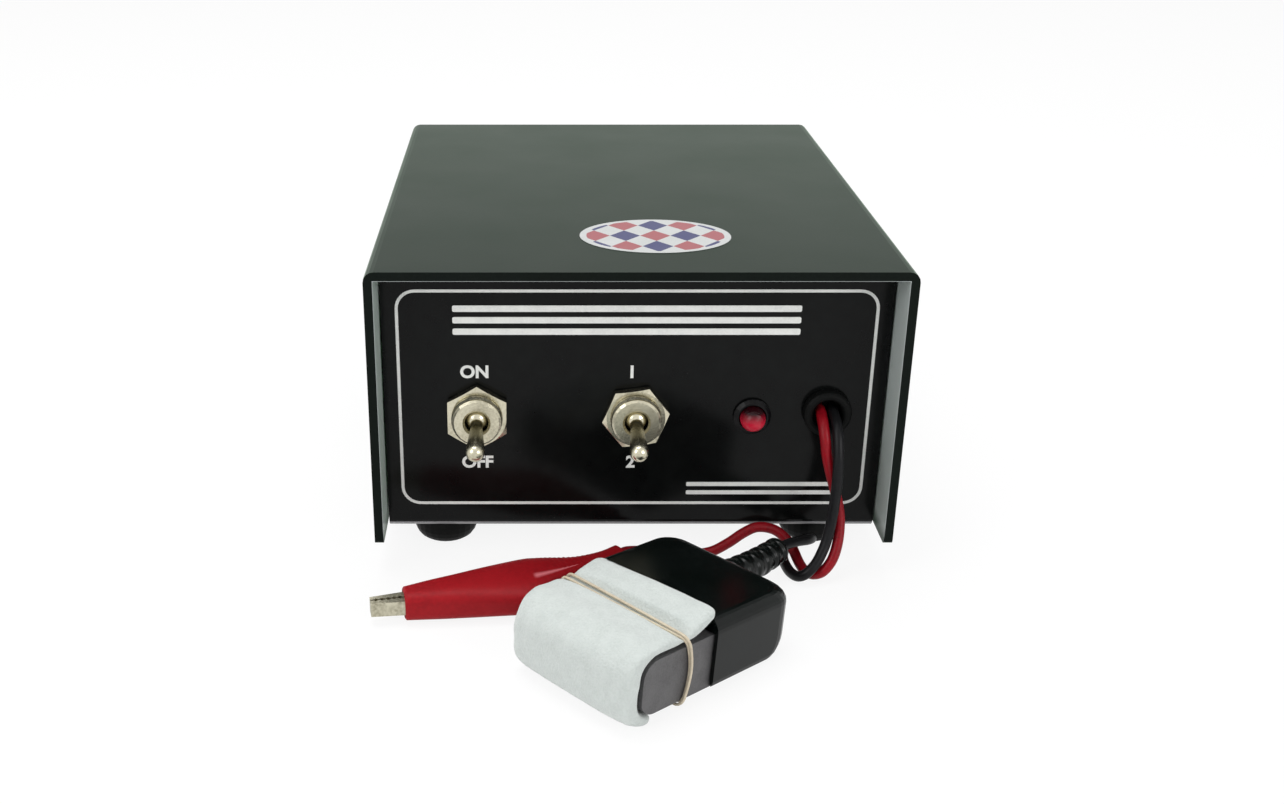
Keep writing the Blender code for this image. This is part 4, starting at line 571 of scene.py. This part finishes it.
across, up = (
    sticker_sum("MULTIPLY_ADD", socket, 1 / half, -middle / half)
    for socket, half, middle in zip(coordinates(sticker_print.node_tree), STICKER_HALF, STICKER_PLACE)
)
reach = sticker_sum("SQRT", sticker_sum("MULTIPLY_ADD", across, across, sticker_sum("MULTIPLY", up, up)))
in_rim = sticker_sum("LESS_THAN", reach, STICKER_PRINT_SHARE)
columns = sticker_sum("MULTIPLY_ADD", across, LOZENGES_ACROSS, LOZENGE_SHIFT)
rows = sticker_sum("MULTIPLY", up, LOZENGES_UP)
rising = sticker_sum("LESS_THAN", sticker_sum("FRACT", sticker_sum("ADD", columns, rows)), 0.5)
falling = sticker_sum("LESS_THAN", sticker_sum("FRACT", sticker_sum("SUBTRACT", columns, rows)), 0.5)
both_low = sticker_sum("LESS_THAN", sticker_sum("ADD", rising, falling), 0.5)
both_high = sticker_sum("MULTIPLY", rising, falling)
tint(sticker_print, sticker_sum("MULTIPLY", both_high, in_rim), STICKER_RED)
tint(sticker_print, sticker_sum("MULTIPLY", both_low, in_rim), STICKER_BLUE)
sticker = add_surface("oval_sticker", oval_grid(), sticker_print, turn=Matrix.Translation(STICKER_PLACE))

# The feet: moulded black rubber buttons under the chassis floor, one at each corner.
# Each is held by a plated screw that sits in its pocket.
CORNERS = ("front_left", "front_right", "rear_left", "rear_right")
foot_rubber = grained(
    "foot_rubber", (0.0025, 0.0028, 0.0028), (0.006, 0.0063, 0.006),
    fine=2200, broad=120, roughness=0.5, spread=0.2, Specular_IOR_Level=0.08,
)
dress(foot_rubber, *[f"foot_{corner}" for corner in CORNERS])
dress(screw_plate, *[f"foot_screw_{corner}" for corner in CORNERS])

# The toggle switches: a phenolic case behind the panel, a threaded bushing through it with a nut each side,
# and a bat lever of plated brass that turns in the bushing's mouth. The levers' shafts carry a painted
# reflection: they are painted darker between the ball and the tip, as if they showed the dark panel.
LEVER_PIVOT = 0.002
LEVER_DROOP = math.radians(11.5)
LEVER_BALL = 0.0032
LEVER_BALL_ARC = (61, -67)
LEVER_LENGTH = 0.0164
LEVER_TIP = 0.00225
LEVER_NECK = 0.00152
LEVER_NECK_SHARE = 0.88
LEVER_TAPER_POWER = 0.8
LEVER_TAIL, LEVER_TAIL_REACH = 0.0012, 0.0055
LEVER_TAIL_CHAMFER = 0.0003
LEVER_TAIL_SHARE = 0.7
LEVER_TIP_POINTS, LEVER_BODY_POINTS, LEVER_BALL_POINTS = 14, 22, 20
THREAD_PITCH = 0.00079
THREAD_CREST = 0.00616
THREAD_ROOT = 0.00594
THREAD_INNER = 0.0057
THREAD_LOW, THREAD_HIGH = 0.0005, 0.0049
THREAD_RUNOUT = 0.0006
DARK_REFLECTION_REACH = (0.0060, 0.0158)
DARK_REFLECTION_FADE = 0.0016
DARK_REFLECTION_COLOUR = (0.17, 0.16, 0.11)


def smooth_step(value):
    """The value held between 0 and 1, with level ends: 3 times its square less twice its cube."""
    value = np.clip(value, 0, 1)
    return value**2 * (3 - 2 * value)


def turned_grid(profile, sides=48):
    """Rings round Z through a profile of radius and height, each ring one row."""
    angle = np.linspace(0, 2 * np.pi, sides, endpoint=False)
    around = np.stack([np.cos(angle), np.sin(angle), np.zeros(sides)], 1)
    return profile[:, :1, None] * around + profile[:, 1, None, None] * np.array((0, 0, 1))


def lever_profile():
    """Half of the bat lever, as radius and height: an arc for the round tip, from a degree beside its pole, a
    body that thins towards the neck by a smooth step, an arc for the ball, and the tail."""
    tip = np.radians(np.linspace(89, 0, LEVER_TIP_POINTS))
    cap = np.stack([LEVER_TIP * np.cos(tip), LEVER_LENGTH - LEVER_TIP + LEVER_TIP * np.sin(tip)], 1)
    share = np.linspace(0, 1, LEVER_BODY_POINTS)[1:-1]
    low, high = LEVER_BALL * LEVER_NECK_SHARE, LEVER_LENGTH - LEVER_TIP
    body = np.stack([LEVER_TIP + (LEVER_NECK - LEVER_TIP) * smooth_step(share) ** LEVER_TAPER_POWER,
                     high + (low - high) * share], 1)
    ball = np.radians(np.linspace(*LEVER_BALL_ARC, LEVER_BALL_POINTS))
    joint = np.stack([LEVER_BALL * np.cos(ball), LEVER_BALL * np.sin(ball)], 1)
    tail = np.array([(LEVER_TAIL, LEVER_TAIL_CHAMFER - LEVER_TAIL_REACH),
                     (LEVER_TAIL * LEVER_TAIL_SHARE, -LEVER_TAIL_REACH)])
    return np.vstack([cap, body, joint, tail])


def thread_grid(rows=56, sides=96):
    """A ring with the bushing's thread on its outer wall: a V ridge that follows the height in pitches less
    the turn round, so it climbs one pitch a turn, and that runs out at the top."""
    height = np.linspace(THREAD_LOW, THREAD_HIGH, rows)[:, None]
    angle = np.linspace(0, 2 * np.pi, sides, endpoint=False)[None]
    ridge = np.abs((height / THREAD_PITCH - angle / (2 * np.pi)) % 1 * 2 - 1)
    ridge = ridge * np.clip((THREAD_HIGH - height) / THREAD_RUNOUT, 0, 1)
    radius = THREAD_ROOT + (THREAD_CREST - THREAD_ROOT) * ridge
    walls = [
        np.stack([wall * np.cos(angle), wall * np.sin(angle), height + 0 * wall], -1)
        for wall in (radius, np.full(radius.shape, THREAD_INNER))
    ]
    return np.vstack([walls[0], walls[1][::-1]])


nickel_finish = {"colour": (0.66, 0.62, 0.48), "second": (0.46, 0.43, 0.32), "fine": 1600, "broad": 160,
                 "roughness": 0.24, "spread": 0.25, "Metallic": 1.0}
nickel = grained("nickel", **nickel_finish)
lever_nickel = grained("lever_nickel", **nickel_finish)
lever_tree = lever_nickel.node_tree
lever_y = coordinates(lever_tree)["Y"]
# Painted reflection: the shaft between the ball and the tip is darkened as if it mirrored the dark panel.
reflection_near, reflection_far = (PANEL_FACE - reach for reach in DARK_REFLECTION_REACH)
behind_tip = ramp(lever_tree, lever_y, reflection_far, reflection_far + DARK_REFLECTION_FADE)
past_ball = ramp(lever_tree, lever_y, reflection_near, reflection_near - DARK_REFLECTION_FADE)
tint(lever_nickel, calculated(lever_tree, "MULTIPLY", behind_tip, past_ball), DARK_REFLECTION_COLOUR)
phenolic = grained(
    "phenolic", (0.055, 0.028, 0.016), (0.030, 0.016, 0.010),
    fine=1100, broad=120, roughness=0.45, spread=0.2,
)
lug_brass = grained(
    "lug_brass", (0.66, 0.47, 0.19), (0.50, 0.36, 0.16),
    fine=1500, broad=180, roughness=0.32, spread=0.3, Metallic=1.0,
)
for (prefix, lugs), switch_x in zip((("power_switch", 2), ("mode_switch", 3)), SWITCH_X):
    facing = Matrix.Translation((switch_x, PANEL_FACE, SWITCH_Z)) @ Matrix.Rotation(math.radians(90), 4, "X")
    thread = add_surface(prefix + "_thread", thread_grid(), nickel, looped=True, turn=facing)
    hung = facing @ Matrix.Translation((0, 0, LEVER_PIVOT)) @ Matrix.Rotation(LEVER_DROOP, 4, "X")
    bat = add_surface(prefix + "_bat", turned_grid(lever_profile()), lever_nickel,
                      body=prefix.replace("switch", "lever"), turn=hung)
    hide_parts(prefix + "_lever")
    dress(nickel, *[f"{prefix}_{part}" for part in ("back_nut", "bushing", "front_nut")])
    dress(phenolic, f"{prefix}_case")
    dress(lug_brass, *[f"{prefix}_lug_{number}" for number in range(1, lugs + 1)])

# The indicator lamp: a black bezel with a red moulded lens over a small bulb, held by a push-on spring clip.
# The lens's colour is painted shade above and a painted highlight below: dark red at its top and brighter red
# lower down.
LAMP_Z = 0.0376
LENS_PAINTED_SHADE = (0.02, 0.001, 0.003)
LENS_PAINTED_LIGHT = (0.52, 0.012, 0.036)
LENS_SHADE_FADE = (LAMP_Z + 0.0021, LAMP_Z - 0.0004)
lamp_black = grained(
    "lamp_black", (0.003, 0.003, 0.0035), (0.006, 0.006, 0.0065),
    fine=1800, broad=150, roughness=0.3, spread=0.15, bump=0.08, Specular_IOR_Level=0.15,
)
lens_red = grained(
    "lens_red", LENS_PAINTED_SHADE, LENS_PAINTED_SHADE,
    fine=800, broad=300, roughness=0.24, spread=0.08, bump=0.06, Specular_IOR_Level=0.3,
)
# Painted shade and light: the lens goes from dark at its top to bright red towards its bottom.
tint(lens_red, ramp(lens_red.node_tree, coordinates(lens_red.node_tree)["Z"], *LENS_SHADE_FADE), LENS_PAINTED_LIGHT)
bulb_glass = grained(
    "bulb_glass", (0.85, 0.80, 0.70), (0.75, 0.70, 0.60),
    fine=900, broad=300, roughness=0.08, spread=0.05, bump=0.05,
)
dress(lamp_black, "lamp_bezel")
dress(lens_red, "lamp_lens")
dress(bulb_glass, "lamp_bulb")
dress(screw_plate, "lamp_clip")

# The grommets: soft black rubber rings that line the panel's lead hole and the rear panel's mains hole,
# and keep the sheet's edge off the cords.
dress(foot_rubber, "lead_grommet", "mains_grommet")

# Inside the case, all on the floor: a laminated transformer with a taped winding under a strap, a bridge
# rectifier and a terminal strip, each held by plated screws.
core_steel = grained(
    "core_steel", (0.20, 0.19, 0.18), (0.11, 0.10, 0.10),
    fine=700, broad=90, roughness=0.5, spread=0.3, Metallic=0.8,
)
winding_tape = grained(
    "winding_tape", (0.70, 0.52, 0.12), (0.58, 0.42, 0.09),
    fine=500, broad=60, roughness=0.45, spread=0.2,
)
dress(core_steel, "transformer_core")
dress(winding_tape, "transformer_coil")
dress(screw_plate, "transformer_strap", "transformer_screw_1", "transformer_screw_2", "rectifier_screw",
      "strip_screw_1", "strip_screw_2")
dress(lamp_black, "rectifier", "terminal_strip")

# The marking head: a moulded black grip that holds a block of carbon by a brass stud inside it.
# The head lies on the bench in front of the case and leans back on the grip's heel.
grip_plastic = grained(
    "grip_plastic", (0.0012, 0.0022, 0.0019), (0.0026, 0.0042, 0.0038),
    fine=900, broad=90, roughness=0.22, spread=0.14, bump=0.08, Specular_IOR_Level=0.21,
)
graphite = grained(
    "graphite", (0.094, 0.092, 0.094), (0.057, 0.055, 0.057),
    fine=2600, broad=220, roughness=0.5, spread=0.3, bump=0.5,
)
dress(grip_plastic, "head_handle")
dress(graphite, "carbon_block")
dress(lug_brass, "electrode_stud")

# The felt: a strip of white wool felt folded round the block's nose. Its upper end climbs onto the grip's
# edge, and the band presses a waist into it on the top of the block.
HEAD_LENGTH = 0.0508
CARBON_SIDE = 0.01785
CARBON_LEVELS = (0.0031, 0.0158)
CINCH_PLACE = -0.0102
CINCH_DEPTH = 0.0016
CINCH_WIDTH = 0.0021
CINCH_NARROWING = 0.0002
BULGE_PLACE, BULGE_WIDTH, BULGE_HEIGHT = 0.0032, 0.0018, 0.0005
FELT_THICKNESS = 0.0028
FELT_HALF_WIDTH = 0.0177
FELT_TOP = 0.0189
FELT_BACK = 0.0002
FELT_RISE = 0.0029
FELT_RISE_FROM, FELT_RISE_TO = -0.0088, -0.0003
FELT_FAR_THINNING = 0.0013
FELT_FAR_DROP = 0.0006
FELT_FAR_PRESS, FELT_PRESS_WIDTH, FELT_PRESS_EASE, FELT_PRESS_POWER = 0.0011, 0.0055, 0.8, 4
FELT_REST = 0.0001
FELT_NOSE_RADIUS, FELT_NOSE_SWELL, FELT_NOSE_POWER = 0.0068, 0.0017, 1.5
FELT_FLAP = 0.0075
FELT_CROWN = 0.0003
FELT_EDGE, FELT_EDGE_THINNING = 0.0013, 0.92
FELT_END_ROUND, FELT_END_SHARE = 0.0024, 0.8
FELT_SECTION_POWERS = (0.22, 0.62)
FELT_STEP = 0.0004
FELT_COLUMNS = 168
FELT_TOP_POINTS, FELT_BEND_POINTS = 40, 24
FELT_WAVY_POWER = 6
WAVE_SPREAD = (0.6, 1.6)
# Each unevenness has its size, the number that starts its random draws, and its depth.
FELT_HOLLOWS = (0.011, 3, 0.00016)
FELT_NAP = (0.0026, 5, 0.00006)
FELT_WAVY_EDGE = (0.007, 9, 0.0002)


def bell(distance, width):
    """1 in the middle, falling off to both sides as e to minus the square of the distance in widths."""
    return np.exp(-((distance / width) ** 2))


def squared_off(wave, power):
    """The wave with its size raised to the power. Below 1 that squares off a circle made of two waves."""
    return np.sign(wave) * np.abs(wave) ** power


def unevenness(points, size, seed, depth, waves=14):
    """Smooth noise at each point: a sum of sine waves in random directions, of about one size."""
    rng = np.random.default_rng(seed)
    heading = rng.normal(size=(waves, 3))
    rate = rng.uniform(*WAVE_SPREAD, waves) / np.linalg.norm(heading, axis=1)
    heading *= rate[:, None] * 2 * np.pi / size
    phase = rng.uniform(0, 2 * np.pi, waves)
    return np.sin(points @ heading.T + phase).sum(-1) / math.sqrt(waves * 2) * depth


def felt_climb(along):
    """0 on the block, 1 at the felt's end on the grip's edge, and even between the two."""
    return np.clip((along - FELT_RISE_FROM) / (FELT_RISE_TO - FELT_RISE_FROM), 0, 1)


def felt_fold():
    """The felt's middle line as X and Z, with its outward side and the distance along: from its end on the
    grip's edge down by a smooth step to the top of the block, round the nose in two quarter circles and back
    under to the flap's end."""
    middle = FELT_NOSE_RADIUS - FELT_THICKNESS / 2
    bend = FELT_NOSE_RADIUS - HEAD_LENGTH / 2
    angle = np.radians(np.linspace(90, 180, FELT_BEND_POINTS))
    down = angle + np.pi / 2
    high = np.stack([bend + middle * np.cos(angle), FELT_TOP - FELT_NOSE_RADIUS + middle * np.sin(angle)], 1)
    low = np.stack([bend + middle * np.cos(down), FELT_NOSE_RADIUS + middle * np.sin(down)], 1)
    start = np.array([[FELT_BACK, FELT_TOP - FELT_THICKNESS / 2]])
    end = np.array([[FELT_FLAP - HEAD_LENGTH / 2, FELT_THICKNESS / 2]])
    top = start + (high[0] - start) * np.linspace(0, 1, FELT_TOP_POINTS)[:, None]
    top[:, 1] += FELT_RISE * smooth_step(felt_climb(top[:, 0]))
    line = np.vstack([top, high[1:], low, end])
    walked = distances(line)
    even = np.linspace(0, walked[-1], round(walked[-1] / FELT_STEP))
    line = np.stack([np.interp(even, walked, line[:, axis]) for axis in (0, 1)], 1)
    ahead = unit_vectors(np.gradient(line, axis=0))
    return line, np.stack([ahead[:, 1], -ahead[:, 0]], 1), even


def felt_grid():
    """Squared-off ovals along the fold, narrowed at both ends by a quarter circle. Bells across the band's
    place press them in there and raise them beside it, the far side is thinned and let down as it climbs,
    the nose swells, and sums of sine waves make the skin uneven as cut felt is."""
    line, outward, walked = felt_fold()
    along, level = line[:, :1], line[:, 1:]
    on_top = level > CARBON_LEVELS[1]
    turn = np.linspace(0, 2 * np.pi, FELT_COLUMNS, endpoint=False)
    across = squared_off(np.cos(turn), FELT_SECTION_POWERS[0])
    through = squared_off(np.sin(turn), FELT_SECTION_POWERS[1])
    from_end = np.minimum(walked, walked[-1] - walked)[:, None]
    corner = np.clip(1 - from_end / FELT_END_ROUND, 0, 1)
    half_width = FELT_HALF_WIDTH - FELT_END_ROUND * (1 - np.sqrt(1 - corner**2)) * FELT_END_SHARE
    edge = np.clip(1 - from_end / FELT_EDGE, 0, 1)
    half_thick = FELT_THICKNESS / 2 * np.sqrt(1 - FELT_EDGE_THINNING * edge**2)
    pinch = bell(along - CINCH_PLACE, CINCH_WIDTH) * on_top
    bulge = bell(np.abs(along - CINCH_PLACE) - BULGE_PLACE, BULGE_WIDTH) * on_top
    crown = 1 - across**2
    nose = np.clip(-outward[:, :1], 0, 1) ** FELT_NOSE_POWER
    far = on_top * (1 + across) / 2
    climb = felt_climb(along)
    pressed = bell(along - CINCH_PLACE, FELT_PRESS_WIDTH) * on_top * (1 - FELT_PRESS_EASE * pinch)
    pressed = pressed * np.clip(across, 0, 1) ** FELT_PRESS_POWER
    raised = FELT_CROWN * crown + FELT_NOSE_SWELL * nose + BULGE_HEIGHT * bulge
    sunk = CINCH_DEPTH * pinch + FELT_FAR_THINNING * climb * far + FELT_FAR_PRESS * pressed
    outside = np.clip(through, 0, 1)
    lift = half_thick * through + outside * (raised - sunk) - FELT_FAR_DROP * smooth_step(climb) * far
    y = across * (half_width - CINCH_NARROWING * pinch)
    flat = np.stack([along + 0 * y, y, level + 0 * y], -1)
    away = np.stack([outward[:, 0], np.zeros(len(line)), outward[:, 1]], 1)[:, None]
    grid = flat + away * lift[..., None]
    rough = (unevenness(grid, *FELT_HOLLOWS) + unevenness(grid, *FELT_NAP)) * outside
    wander = unevenness(grid, *FELT_WAVY_EDGE) * squared_off(across, FELT_WAVY_POWER)
    return grid + away * rough[..., None] + wander[..., None] * np.array((0, 1, 0))


white_felt = grained(
    "white_felt", (0.56, 0.60, 0.58), (0.49, 0.53, 0.51),
    fine=1900, broad=320, roughness=0.95, spread=0.05, bump=0.8, depth=0.0003, Sheen_Weight=0.4,
)
felt_points = moved(HEAD, felt_grid())
felt_points[..., 2] = np.maximum(felt_points[..., 2], FELT_REST)
felt = add_surface("felt_strip", felt_points, white_felt, sharp=80)
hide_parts("felt_pad")

# The rubber band: a thin pale band wound on twice, which keeps the felt on the block. Its two strands lie
# apart on the top, and cross over each other at the block's near side, where they hang a little slack.
BAND_STRAND = 0.00033
BAND_STRAND_SIDES = 12
BAND_SPREAD = 0.00095
BAND_SIDE_GAP, BAND_LOW_GAP, BAND_HIGH_GAP = 0.0004, 0.0005, 0.00035
BAND_CORNER = 0.0016
BAND_TURNS = 2
BAND_POINTS = 360
BAND_CROSSING = 0.9
BAND_SQUARENESS = 12
BAND_STACK_SHARES = (0.95, 0.5)
BAND_SLACK = 0.0016
BAND_SLACK_FROM_SHARE = 0.9


def band_line():
    """The band's closed line: twice round a rounded rectangle. A cosine of the turn parts the strands along
    the block, a sine stacks one on the other where they cross, and half a sine bows them at the sides."""
    half_y = CARBON_SIDE + BAND_SIDE_GAP
    low, high = CARBON_LEVELS[0] - BAND_LOW_GAP, FELT_TOP - CINCH_DEPTH + BAND_HIGH_GAP
    half_z = (high - low) / 2
    ring = rounded_ring(half_y, half_z, BAND_CORNER, steps=10)
    ring = np.vstack([ring, ring[:1]])
    walked = distances(ring)
    turn = np.linspace(0, BAND_TURNS, BAND_POINTS, endpoint=False)
    y, z = (np.interp(turn % 1 * walked[-1], walked, ring[:, axis]) for axis in (0, 1))
    phase = np.pi * (turn - BAND_CROSSING)
    outward = unit_vectors(squared_off(np.stack([y / half_y, z / half_z], 1), BAND_SQUARENESS))
    stacked = BAND_STACK_SHARES[0] * (1 + np.sin(phase)) + BAND_STACK_SHARES[1] * np.cos(phase) ** 2
    bowed = np.sin(np.pi * np.clip((z / half_z + 1) / 2, 0, 1))
    bowed = bowed * (np.abs(y) > half_y * BAND_SLACK_FROM_SHARE)
    x = CINCH_PLACE + BAND_SPREAD * np.cos(phase) + BAND_SLACK * bowed
    y, z = (np.stack([y, z], 1) + outward * stacked[:, None] * BAND_STRAND).T
    return np.stack([x, y, (low + high) / 2 + z], 1)


def closed_tube_grid(line, radius, sides):
    """Rings round a closed line, each on a spoke that is square to the line and to the head's length."""
    ahead = unit_vectors(np.roll(line, -1, axis=0) - np.roll(line, 1, axis=0))
    first = unit_vectors(np.cross(ahead, np.array(HEAD)[:3, 0]))
    angle = np.linspace(0, 2 * np.pi, sides, endpoint=False)[None, :, None]
    ring = first[:, None] * np.cos(angle) + np.cross(ahead, first)[:, None] * np.sin(angle)
    return line[:, None] + ring * radius


band_rubber = grained(
    "band_rubber", (0.60, 0.54, 0.41), (0.49, 0.40, 0.29),
    fine=1700, broad=200, roughness=0.5, spread=0.2,
)
strands = closed_tube_grid(moved(HEAD, band_line()), BAND_STRAND, BAND_STRAND_SIDES)
band = add_surface("wound_band", strands, band_rubber, looped=True, sharp=80)
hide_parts("rubber_band")

# The strain relief: a ribbed sleeve moulded round the black lead where it goes into the grip. It has a thick
# collar at the grip and tapers towards its rounded end.
RELIEF_STEP = 0.00022
RELIEF_SIDES = 40
RELIEF_RADIUS, RELIEF_TAPER = 0.0041, 0.0008
RELIEF_RIBS = 6.5
RELIEF_RIBBED_SHARES = (0.06, 0.94)
RELIEF_ROUNDED_SHARE = 0.035
GROOVE_DEPTH = 0.0004
GROOVE_STEEPNESS = 2.2
GROOVE_PHASE = 0.25


def relief_grid():
    """The relief's tapering body: a cosine cut off above and below makes the grooves between its ribs, and
    the square root of 1 less half a square rounds off the far end."""
    line = smooth_line(relief_knots, RELIEF_STEP)
    share = np.linspace(0, 1, len(line))
    wave = np.cos(2 * np.pi * (share * RELIEF_RIBS + GROOVE_PHASE))
    groove = np.clip(wave * GROOVE_STEEPNESS, -1, 1) * 0.5 + 0.5
    groove *= (share > RELIEF_RIBBED_SHARES[0]) & (share < RELIEF_RIBBED_SHARES[1])
    rounding = np.clip((share - 1 + RELIEF_ROUNDED_SHARE) / RELIEF_ROUNDED_SHARE, 0, 1)
    radius = RELIEF_RADIUS - RELIEF_TAPER * share - GROOVE_DEPTH * groove
    return tube_grid(line, radius * np.sqrt(1 - 0.5 * rounding**2), RELIEF_SIDES)


relief = add_surface("ribbed_relief", relief_grid(), grip_plastic, sharp=50)
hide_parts("head_strain_relief")

# The clip: two stamped jaws on a pin with a torsion spring, and a red boot pushed over their tails.
# The boot is dipped vinyl, wide over the tails and drawn in round the lead. A soft fold runs along it, with
# a painted highlight beside the fold: a pale pink streak mixed into the vinyl's colour.
BOOT_WALL = 0.0008
BOOT_SIDES = 72
BOOT_STEP = 0.0005
BOOT_SECTION_POWER = 0.7
BOOT_INNER_SHARE = 0.8
BOOT_LIP_SHARE = 0.4
# Each station has its place along and across the clip, half its width and height, and its heading.
BOOT_STATIONS = (
    (-0.0099, 0.0, 0.0036, 0.0036, 0), (-0.0040, 0.0004, 0.0048, 0.0039, 0),
    (0.0019, 0.0007, 0.0059, 0.0041, 0), (0.0107, 0.0013, 0.0079, 0.0041, 0),
    (0.0195, 0.0018, 0.0094, 0.0041, 0), (0.0231, 0.0024, 0.0088, 0.0040, 1.5),
    (0.0267, 0.0034, 0.0075, 0.0038, 5.1), (0.0303, 0.0047, 0.0059, 0.0034, 10),
    (0.0340, 0.0062, 0.0043, 0.0030, 15.9), (0.0376, 0.0080, 0.0030, 0.0027, 20.9),
    (0.0412, 0.0099, 0.0024, 0.0024, 24.5), (0.0448, 0.0120, 0.0023, 0.0023, 26),
)
FOLD_DEPTH = 0.0009
FOLD_PLACE, FOLD_REACH = 0.0275, 0.0055
FOLD_ANGLE, FOLD_SPREAD = 2.25, 0.24
RIPPLE_DEPTH = 0.00016
RIPPLE_PLACE, RIPPLE_REACH = 0.031, 0.006
RIPPLE_RATE, RIPPLE_LEAN = 2600, 2
STREAK_HIGHLIGHT_REACH = (0.0150, 0.0264)
STREAK_HIGHLIGHT_LEVEL = 0.0094
STREAK_HIGHLIGHT_HALF_WIDTH = (0.0002, 0.0009)
STREAK_HIGHLIGHT_END = 0.0009
STREAK_HIGHLIGHT_STRENGTH = 0.75
STREAK_HIGHLIGHT_COLOUR = (0.80, 0.24, 0.27)
SPRING_RADIUS = 0.0016
SPRING_WIRE = 0.00015
SPRING_WIRE_SIDES = 8
SPRING_PITCH = 0.00075
SPRING_TURNS = 1.5
SPRING_POINTS = 60
SPRING_LEG, SPRING_LEG_REACH, SPRING_LEG_ROOT = 0.008, 0.00305, 0.0023


def boot_grid():
    """Squared-off oval rings from the neck to the mouth, over its lip and back along the inner wall. A bell
    along and round the wall sinks a soft fold behind the lobe, and a sine wave makes shallow ripples across
    it where it is drawn in."""
    stations = smooth_line(BOOT_STATIONS, BOOT_STEP)
    walk, side, width, height, heading = stations[np.argsort(stations[:, 0])].T[..., None]
    heading = np.radians(heading)
    angle = np.linspace(0, 2 * np.pi, BOOT_SIDES, endpoint=False)
    across = squared_off(np.cos(angle), BOOT_SECTION_POWER)
    up = squared_off(np.sin(angle), BOOT_SECTION_POWER)
    fold = FOLD_DEPTH * bell(walk - FOLD_PLACE, FOLD_REACH) * bell(angle - FOLD_ANGLE, FOLD_SPREAD)
    ripples = np.abs(np.sin(walk * RIPPLE_RATE + RIPPLE_LEAN * np.sin(angle)))
    ripples = RIPPLE_DEPTH * ripples * bell(walk - RIPPLE_PLACE, RIPPLE_REACH)

    def rings(inset):
        wide = (width - inset) * across
        high = (height - inset) * up
        return np.stack([walk - np.sin(heading) * wide, side + np.cos(heading) * wide, high], -1)

    outer = rings(fold + ripples)
    inner = rings(BOOT_WALL + fold)[: round(len(walk) * BOOT_INNER_SHARE)]
    lip = (outer[:1] + inner[:1]) / 2 - (BOOT_WALL * BOOT_LIP_SHARE, 0, 0)
    return moved(CLIP, np.vstack([outer[::-1], lip, inner]))


def spring_line():
    """The spring's wire: a leg, a helix of one and a half turns round the pin, and the other leg."""
    turn = np.linspace(0, 2 * np.pi * SPRING_TURNS, SPRING_POINTS)
    level = SPRING_PITCH * (turn / (2 * np.pi) - SPRING_TURNS / 2)
    coil = np.stack([-SPRING_RADIUS * np.sin(turn), -SPRING_RADIUS * np.cos(turn), level], 1)
    first = ((SPRING_LEG, -SPRING_LEG_REACH, level[0]), (SPRING_LEG / 2, -SPRING_LEG_ROOT, level[0]))
    last = ((SPRING_LEG / 2, SPRING_LEG_ROOT, level[-1]), (SPRING_LEG, SPRING_LEG_REACH, level[-1]))
    return moved(CLIP, np.vstack([first, coil, last]))


boot_vinyl = grained(
    "boot_vinyl", (0.34, 0.006, 0.011), (0.25, 0.004, 0.008),
    fine=1100, broad=110, roughness=0.5, spread=0.2, bump=0.12, Specular_IOR_Level=0.16,
)
boot_tree = boot_vinyl.node_tree
boot_along, boot_around = coordinates(boot_tree, "UV")[:2]
# Painted highlight: a pale pink streak along the boot beside the fold, painted into the base colour.
streak_half = ramp(boot_tree, boot_along, *STREAK_HIGHLIGHT_REACH, *STREAK_HIGHLIGHT_HALF_WIDTH)
streak_side = calculated(boot_tree, "ABSOLUTE", calculated(boot_tree, "SUBTRACT", boot_around, STREAK_HIGHLIGHT_LEVEL))
highlight_streak = ramp(boot_tree, streak_side, streak_half, 0.0, 0.0, STREAK_HIGHLIGHT_STRENGTH)
for reach, fade in zip(STREAK_HIGHLIGHT_REACH, (-STREAK_HIGHLIGHT_END, STREAK_HIGHLIGHT_END)):
    highlight_streak = calculated(boot_tree, "MULTIPLY", highlight_streak, ramp(boot_tree, boot_along, reach + fade, reach))
tint(boot_vinyl, highlight_streak, STREAK_HIGHLIGHT_COLOUR)
clip_steel = grained(
    "clip_steel", (0.60, 0.57, 0.44), (0.30, 0.28, 0.20),
    fine=1300, broad=420, roughness=0.40, spread=0.3, bump=0.3, Metallic=1.0,
)
dress(clip_steel, "clip_fixed_jaw", "clip_moving_jaw", "clip_pin")
boot = add_surface("clip_boot_vinyl", boot_grid(), boot_vinyl, body=None, sharp=60)
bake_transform(boot)
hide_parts("clip_boot")
spring_wire = tube_grid(spring_line(), SPRING_WIRE, SPRING_WIRE_SIDES)
spring = add_surface("clip_spring_wire", spring_wire, screw_plate, body=None)
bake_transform(spring)
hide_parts("clip_spring")
